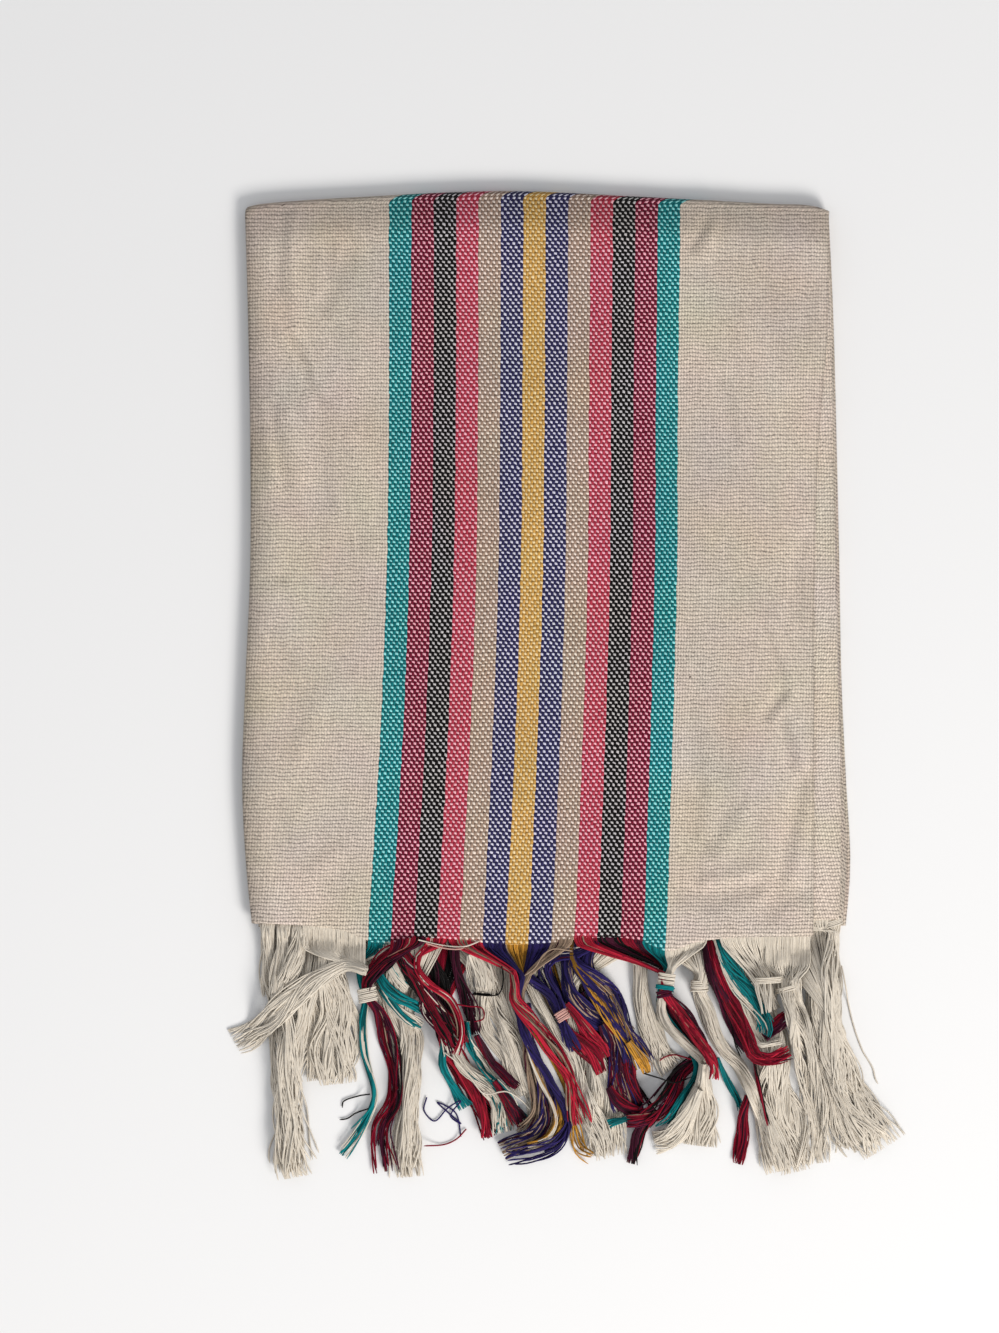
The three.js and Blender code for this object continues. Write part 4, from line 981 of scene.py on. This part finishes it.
# Single yarns that lie apart from the locks.
STRAYS = [
    ("front_inner", "black", [(-65.5, -58.5), (-70, -59.5), (-75.5, -61.5), (-76, -64)]),
    ("front_inner", "black", [(-66, -64), (-71, -66), (-74, -68), (-77, -68.5)]),
    ("back_outer", "indigo",
        [(-44, -60), (-45, -65), (-41, -69), (-36, -64), (-31, -61), (-35, -67), (-31, -70), (-40, -62),
         (-33, -66), (-31, -75)]),
    ("back_outer", "crimson", [(-29, -72), (-33, -76), (-38, -78), (-45, -78)]),
    ("front_outer", "cream", [(113, -10), (117, -30), (121, -42), (125, -49), (126, -53), (127, -55)]),
    ("front_outer", "black", [(38, -50), (44, -52), (50, -54), (56, -52)]),
    ("front_inner", "black",
        [(-15.6, -9.5), (-15, -14), (-15.5, -18), (-17, -20.5), (-21, -21), (-27, -20.5)]),
    ("front_outer", "crimson", [(56, -45), (50, -43.6), (46, -44.5), (44, -46)]),
    ("front_outer", "cream", [(-47, 0.2), (-40, -1.6), (-34, -2.4), (-29, -2.2), (-24, -0.4)]),
    ("front_outer", "pink", [(-44, -1.2), (-38, -2.9), (-33, -3.4), (-30, -3.0)]),
    ("front_outer", "crimson", [(-33, -24), (-28, -25), (-23, -26), (-22.5, -30), (-26, -31)]),
    ("front_outer", "taupe", [(11, -4), (4, -3.2), (0, -5.5), (-3, -10), (-7, -13)]),
    ("front_outer", "cream",
        [(-37, -42), (-33, -45), (-27, -52), (-22, -58), (-14, -57), (-9, -60), (-5, -64)]),
]
STRAY_RADIUS = 0.95  # as a share of a yarn's


class Heap:
    """The height of what already lies on the surface, in small square cells."""

    CELL = 0.5
    LEFT, BOTTOM = -145.0, -115.0
    ROWS, COLUMNS = 270, 600

    def __init__(self):
        self.tops = np.zeros((self.ROWS, self.COLUMNS))

    def cells(self, points):
        column = ((points[:, 0] - self.LEFT) / self.CELL).astype(int)
        row = ((points[:, 1] - self.BOTTOM) / self.CELL).astype(int)
        return np.clip(row, 1, self.ROWS - 2), np.clip(column, 1, self.COLUMNS - 2)

    def under(self, points):
        row, column = self.cells(points)
        return np.max([self.tops[row + r, column + c] for r in (-1, 0, 1) for c in (-1, 0, 1)], axis=0)

    def lay(self, points):
        row, column = self.cells(points)
        for r, c in ((0, 0), (1, 0), (-1, 0), (0, 1), (0, -1)):
            np.maximum.at(self.tops, (row + r, column + c), points[:, 2] + YARN_RADIUS)


def lengths(points):
    """How far along a line each of its points is, on the plan."""
    return np.concatenate([[0], np.cumsum(np.hypot(*np.diff(points[:, :2], axis=0).T))])


def spaced_line(stations, spacing):
    """Evenly spaced points on a smooth line through stations, whose further columns run along."""
    keys = lengths(stations)
    keys += np.arange(len(keys)) * 1e-3
    count = max(int(keys[-1] / spacing) + 1, LINE_POINTS)
    return curve_through(keys, stations, np.linspace(0, keys[-1], count))


def settled_heights(points, rest):
    """The lowest heights that stay above rest and never climb too steeply."""
    place = lengths(points)
    heights = (rest[None, :] - STEEPEST * np.abs(place[:, None] - place[None, :])).max(1)
    for _ in range(2):
        heights[1:-1] = (heights[:-2] + 2 * heights[1:-1] + heights[2:]) / 4
    return heights


def section_places(count, draw):
    """Places in a round section, from -1 to 1 across and up, evenly filled and in order across."""
    across = np.linspace(-1, 1, 401)
    share = 0.5 + (across * np.sqrt(1 - across**2) + np.arcsin(across)) / math.pi
    a = np.interp((np.arange(count) + 0.5) / count, share, across)
    golden = 0.618
    return a, np.sqrt(1 - a * a) * (2 * ((np.arange(count) * golden + draw.uniform()) % 1) - 1)


def dye_at(layer, across):
    """The dye of the end that leaves a layer's hem at a place across."""
    shift = BACK_BAND_SHIFT if layer == "back_outer" else 0
    left, right = BAND[0, 1] + shift, BAND[0, 2] + shift
    stripe = math.floor((across - left) / (right - left) * len(STRIPES))
    in_band = 0 <= stripe < len(STRIPES) and not layer.endswith("inner")
    return STRIPES[stripe] if in_band else "cream"


def waves(place, size, shortest, longest, draw):
    """A smooth uneven sway along a line, from none at its start."""
    first, second = draw.uniform(shortest, longest, 2)
    sway = np.sin(place / first + draw.uniform(*PHASES))
    sway += SECOND_WAVE * np.sin(place / second + draw.uniform(*PHASES))
    return size * sway * smooth(place / SWAY_START)


class Lock:
    """A lock's line, with its plies of yarn twisting along it."""

    def __init__(self, path, count, draw):
        self.line = spaced_line(path, PATH_STEP)
        self.place = lengths(self.line)
        ahead = np.gradient(self.line[:, :2], axis=0)
        self.ahead = ahead / np.maximum(np.hypot(*ahead.T), 1e-6)[:, None]
        self.half = self.line[:, 2]
        self.tall = count * YARN_RADIUS**2 / (PACKING * self.half)
        self.turn = draw.uniform(-LOCK_TURN, LOCK_TURN) * self.place / max(self.place[-1], TURN_REACH)
        self.plies = max(2, round(count / YARNS_PER_PLY))
        self.ply_across, self.ply_up = section_places(self.plies, draw)
        self.ply_size = min(PLY_SHARE / math.sqrt(self.plies), WIDEST_PLY)
        self.narrow = np.minimum(1, PLY_RADIUS / (self.ply_size * self.half))
        self.sways = [
            (waves(self.place, *SWAY_ACROSS, draw), waves(self.place, *SWAY_UP, draw))
            for _ in range(self.plies)
        ]
        self.twists = draw.uniform(*PLY_TWIST, self.plies) * draw.choice([-1, 1], self.plies)

    def straying(self, is_heart, draw):
        """How far to the side a yarn strays along the lock."""
        stray = 0.0 if is_heart else LOOSE_STRAY if draw.uniform() < LOOSE_YARNS else 1.0
        aside = waves(self.place, stray * draw.uniform(*STRAY_SIZES), *STRAY_WAVES, draw)
        past_start = np.maximum(self.place - FLARE_START * self.place[-1], 0)
        aside += stray * draw.normal(0, FLARE) * past_start**FLARE_POWER
        return FARTHEST_STRAY * np.tanh(aside / FARTHEST_STRAY)

    def yarn(self, share, is_heart, draw):
        """The places along the lock of one yarn or heart, at its share of the way across, and its radius."""
        ply = int(share * self.plies)
        size = self.ply_size
        around = draw.uniform(0, 2 * math.pi) + self.twists[ply] * self.place
        if is_heart:
            out = 0
            radius = HEART_SHARE * size * np.minimum(self.half, self.tall)
        else:
            out = size * math.sqrt(draw.uniform(INNERMOST, 1))
            radius = YARN_RADIUS * draw.uniform(*UNEVEN_RADIUS)
        sway_across, sway_up = self.sways[ply]
        a = self.ply_across[ply] * (1 - size * PLY_CROWDING) + sway_across
        b = self.ply_up[ply] * (1 - size * PLY_CROWDING) + sway_up
        side = a * np.cos(self.turn) - b * np.sin(self.turn) + out * self.narrow * np.cos(around)
        rise = a * np.sin(self.turn) + b * np.cos(self.turn) + out * np.sin(around)
        rise = np.maximum(rise + np.sqrt(np.maximum(1 - side**2, 0)), 0) * self.tall
        aside = side * self.half + self.straying(is_heart, draw)
        x = self.line[:, 0] - self.ahead[:, 1] * aside
        y = self.line[:, 1] + self.ahead[:, 0] * aside
        shorter = SHORTER_BY if is_heart else SHORTER_BY * draw.uniform() ** 2
        kept = max(int(len(x) * (1 - shorter)), YARN_POINTS)
        return np.column_stack([x, y, rise, radius + 0 * self.place])[:kept]


def from_hem(layer, x, own, drop, draw):
    """A yarn's places with those before them, from inside its hem down to where it joins its lock."""
    y = float(hem(layer, x))
    lean = np.clip((own[0, 0] - x) * LEAN, -MOST_LEAN, MOST_LEAN)
    inside = [x, y + draw.uniform(*INSIDE_HEM), 0, YARN_RADIUS]
    first = [x + FIRST_LEAN * lean, y - FIRST_BEND, 0, YARN_RADIUS]
    second = [x + lean, y - SECOND_BEND - drop, 0, YARN_RADIUS]
    return np.vstack([[inside, first, second], own])


def yarn_tone(dye, is_heart, draw):
    """A yarn's dye, which in a few is another stripe's, and how light it is."""
    tone = draw.uniform(*CREAM_TONES)
    # A heart takes a darker tone, painted shade between its ply's yarns.
    if is_heart:
        tone = HEART_SHADE_TONES["cream" if dye == "cream" else "dyed"]
    elif dye != "cream":
        tone = draw.choice(DYED_TONES, p=TONE_SHARES)
        if draw.uniform() < STRANGERS:
            dye = draw.choice(STRANGE_DYES)
    return dye, tone


def settle(heap, layer, from_root, points):
    """Lays a yarn's points on the heap, and under the front hem if it comes from a layer below."""
    rest = heap.under(points)
    if from_root:
        travelled = lengths(points)
        rest[travelled < BARE_REACH] = 0
        rest[travelled < ROOT_REACH] = LAYER_MIDDLE[layer] + ROOT_LIFT
    lowest = settled_heights(points, rest) + points[:, 2].clip(0) + YARN_RADIUS
    points[:, 2] = np.maximum(lowest, points[:, 3])
    if layer != "front_outer":
        past_hem = np.maximum(hem("front_outer", points[:, 0]) - points[:, 1], 0)
        points[:, 2] = np.minimum(points[:, 2], UNDER_HEM + HEM_SLOPE * past_hem)


def fringe_node(layer):
    return "fringe_front" if layer.startswith("front") else "fringe_back"


def lay_lock(heap, yarns, row, draw):
    """Draws the hearts and yarns of a row of LOCKS and settles them on the heap."""
    layer, roots, drop, dyes, path = row
    if roots:
        count = int((roots[1] - roots[0]) / WARP_PITCH * YARNS_PER_END)
    else:
        count = int(path[:, 2].max() * YARNS_PER_MM)
    lock = Lock(path, count, draw)
    laid = []
    for k in range(lock.plies + count):
        is_heart = k < lock.plies
        share = (k + 0.5) / lock.plies if is_heart else (k - lock.plies + 0.5) / count
        own = lock.yarn(share, is_heart, draw)
        dye = ""
        if dyes:
            dye = dyes[int(np.clip(share + draw.normal(0, DYE_MIXING), 0, 0.999) * len(dyes))]
        if roots:
            x = roots[0] + share * (roots[1] - roots[0])
            own = from_hem(layer, x, own, drop, draw)
            dye = dye or dye_at(layer, x)
        dye, tone = yarn_tone(dye, is_heart, draw)
        points = spaced_line(own, SAMPLE)
        settle(heap, layer, roots is not None, points)
        if not is_heart:
            laid.append(points)
        last = len(points) - 1
        kept = [*range(0, last, KEPT_SAMPLES[fringe_node(layer)]), last]
        yarns.append((layer, dye, tone, points[kept, :3], points[kept, 3]))
    heap.lay(np.vstack(laid))


def lay_binding(heap, yarns, binding, draw):
    """Winds a row of BINDINGS round the top of the heap."""
    layer, x, y, degrees, half, turns, dye = binding
    along = np.array([math.cos(math.radians(degrees)), math.sin(math.radians(degrees))])
    across = np.array([-along[1], along[0]])
    top = float(heap.under(np.array([[x, y]]))[0])
    tall = min(half * BINDING_HEIGHT, top / 2)
    phase = np.linspace(BINDING_START, 2 * math.pi * turns, BINDING_STEPS * turns)
    offset = (phase / (2 * math.pi) - turns / 2) * BINDING_PITCH * YARN_RADIUS
    offset += draw.normal(0, BINDING_SPREAD, turns + 1)[(phase / (2 * math.pi)).astype(int)]
    width = half * (1 + BINDING_SWELL * np.sin(phase / 2 + draw.uniform(*PHASES)))
    plan = np.array([x, y]) + across * (width * np.cos(phase))[:, None] + along * offset[:, None]
    lift = np.maximum(top - tall + (tall + BINDING_LIFT) * np.sin(phase), YARN_RADIUS)
    points = np.column_stack([plan, lift])
    yarns.append((layer, dye, 1.0, points, YARN_RADIUS * BINDING_RADIUS))
    heap.lay(points)


def lay_stray(heap, yarns, stray):
    """Lays a row of STRAYS on the heap."""
    layer, dye, path = stray
    points = spaced_line(np.column_stack([np.array(path, float), np.zeros(len(path))]), SAMPLE)
    points[:, 2] = settled_heights(points, heap.under(points)) + YARN_RADIUS
    yarns.append((layer, dye, 1.0, points, YARN_RADIUS * STRAY_RADIUS))
    heap.lay(points)


def combed_yarn():
    """Soft combed cotton yarn: matt, unevenly dyed along its length, with a fine rough twist."""
    material, tree = new_material("combed_cotton_yarn")
    # The yarn's dye and tone; a heart's darker tone is painted shade.
    dye = add(tree, "Attribute", attribute_name="dye")
    place = add(tree, "TexCoord").outputs["Object"]
    mottle = add(tree, "TexNoise", {"Vector": place, "Scale": 420.0, "Detail": 2.0})
    tone = add(tree, "Math", {0: mottle, 1: 0.3, 2: 0.85}, operation="MULTIPLY_ADD")
    shaded = add(tree, "VectorMath", {0: dye, "Scale": tone}, operation="SCALE")
    twist = add(tree, "TexNoise", {"Vector": place, "Scale": 1500.0, "Detail": 1.0})
    bump = add(tree, "Bump", {"Height": twist, "Distance": 0.12 * MM, "Strength": 0.7})
    finish_material(tree, {
        "Base Color": shaded,
        "Normal": bump,
        "Roughness": 0.85,
        "Specular IOR Level": 0.08,
        "Sheen Weight": 0.04,
    })
    return material


def pressed(heights):
    """Where the heap is high, its own weight presses it down."""
    above = heights - PRESSED_ABOVE
    return np.where(above > 0, PRESSED_ABOVE + PRESSED_TO * above, heights)


def make_yarns(layer, yarns, material):
    """One piece from the yarns of a layer, as thin tubes with their dyes kept at the points."""
    name = "yarns_" + layer
    curve = bpy.data.curves.new(name, "CURVE")
    curve.dimensions = "3D"
    curve.bevel_depth = MM
    curve.bevel_resolution = 0
    colours = []
    for owner, dye, tone, points, radius in yarns:
        if owner != layer:
            continue
        count = len(points)
        points = np.column_stack([points[:, :2], pressed(points[:, 2])])
        spline = curve.splines.new("POLY")
        spline.points.add(count - 1)
        spline.points.foreach_set("co", np.column_stack([in_part_frame(points), np.ones(count)]).ravel())
        taper = radius * np.ones(count)
        taper[-1] *= END_TAPER
        spline.points.foreach_set("radius", taper)
        # The tone darkens a heart's colour as painted shade between its yarns.
        colour = np.array(linear(YARN_DYES[dye])) * [tone, tone, tone, 1]
        colours.append(np.tile(colour, (RING * count, 1)))
    holder = place_in_scene(name, curve)
    depsgraph = bpy.context.evaluated_depsgraph_get()
    mesh = bpy.data.meshes.new_from_object(holder.evaluated_get(depsgraph))
    bpy.data.objects.remove(holder)
    mesh.name = name
    dyes = mesh.attributes.new("dye", "FLOAT_COLOR", "POINT")
    dyes.data.foreach_set("color", np.vstack(colours).astype(np.float32).ravel())
    return finish_piece(place_in_scene(name, mesh), [fringe_node(layer)], material)


def make_fringes():
    heap, yarns = Heap(), []
    draw = np.random.default_rng(FRINGE_SEED)
    for row in LOCKS:
        lay_lock(heap, yarns, row, draw)
    for binding in BINDINGS:
        lay_binding(heap, yarns, binding, draw)
    for stray in STRAYS:
        lay_stray(heap, yarns, stray)
    material = combed_yarn()
    return [make_yarns(layer, yarns, material) for layer in LAYER_MIDDLE]


fringes = make_fringes()


def make_floor():
    """A matt white paper floor: plain, pale and without gloss."""
    bm = bmesh.new()
    bmesh.ops.create_grid(bm, x_segments=1, y_segments=1, size=FLOOR_REACH)
    bmesh.ops.translate(bm, vec=(0, 0, -FLOOR_DROP), verts=bm.verts)
    mesh = bpy.data.meshes.new("floor")
    bm.to_mesh(mesh)
    bm.free()
    material, tree = new_material("matt_white_paper")
    finish_material(tree, {"Base Color": linear("#E8E8E8"), "Roughness": 0.9})
    mesh.materials.append(material)
    place_in_scene("floor", mesh)


def area_light(name, place, size, power, colour="#FFFFFF"):
    """A square soft light that faces the towel, with its place and size in metres."""
    data = bpy.data.lights.new(name, "AREA")
    data.size = size
    data.energy = power
    data.color = linear(colour)[:3]
    lamp = place_in_scene(name, data)
    lamp.location = place
    aim = -lamp.location
    lamp.rotation_euler = aim.to_track_quat("-Z", "Y").to_euler()


def make_daylight():
    """The studio's soft light from all round, a little cool."""
    world = bpy.data.worlds.new("studio")
    world.use_nodes = True
    sky = world.node_tree.nodes["Background"]
    sky.inputs["Color"].default_value = linear("#F2F4F8")
    sky.inputs["Strength"].default_value = 0.55
    bpy.context.scene.world = world
    bpy.context.scene.view_settings.view_transform = "Standard"


def make_camera():
    """Straight above, with the photograph's frame at its own scale."""
    data = bpy.data.cameras.new("camera")
    camera = place_in_scene("camera", data)
    width, height = FRAME_PIXELS
    x = (width / 2 - HEM_MIDDLE_PIXEL[0]) / PIXELS_PER_MM
    y = (HEM_MIDDLE_PIXEL[1] - height / 2) / PIXELS_PER_MM
    top = HALVES_PLANE + OUTER_LAYER_HEIGHT
    camera.location = in_part_frame([x, y, top]) + np.array([0, 0, CAMERA_HEIGHT])
    data.sensor_fit = "VERTICAL"
    data.sensor_height = SENSOR_HEIGHT
    data.lens = SENSOR_HEIGHT * CAMERA_HEIGHT / (height / PIXELS_PER_MM * MM)
    bpy.context.scene.camera = camera


make_floor()
area_light("key", (1.2, -1.68, 1.45), 0.9, 61, "#FFFBF6")
area_light("fill", (-0.2, -0.3, 1.7), 1.4, 3)
make_daylight()
make_camera()
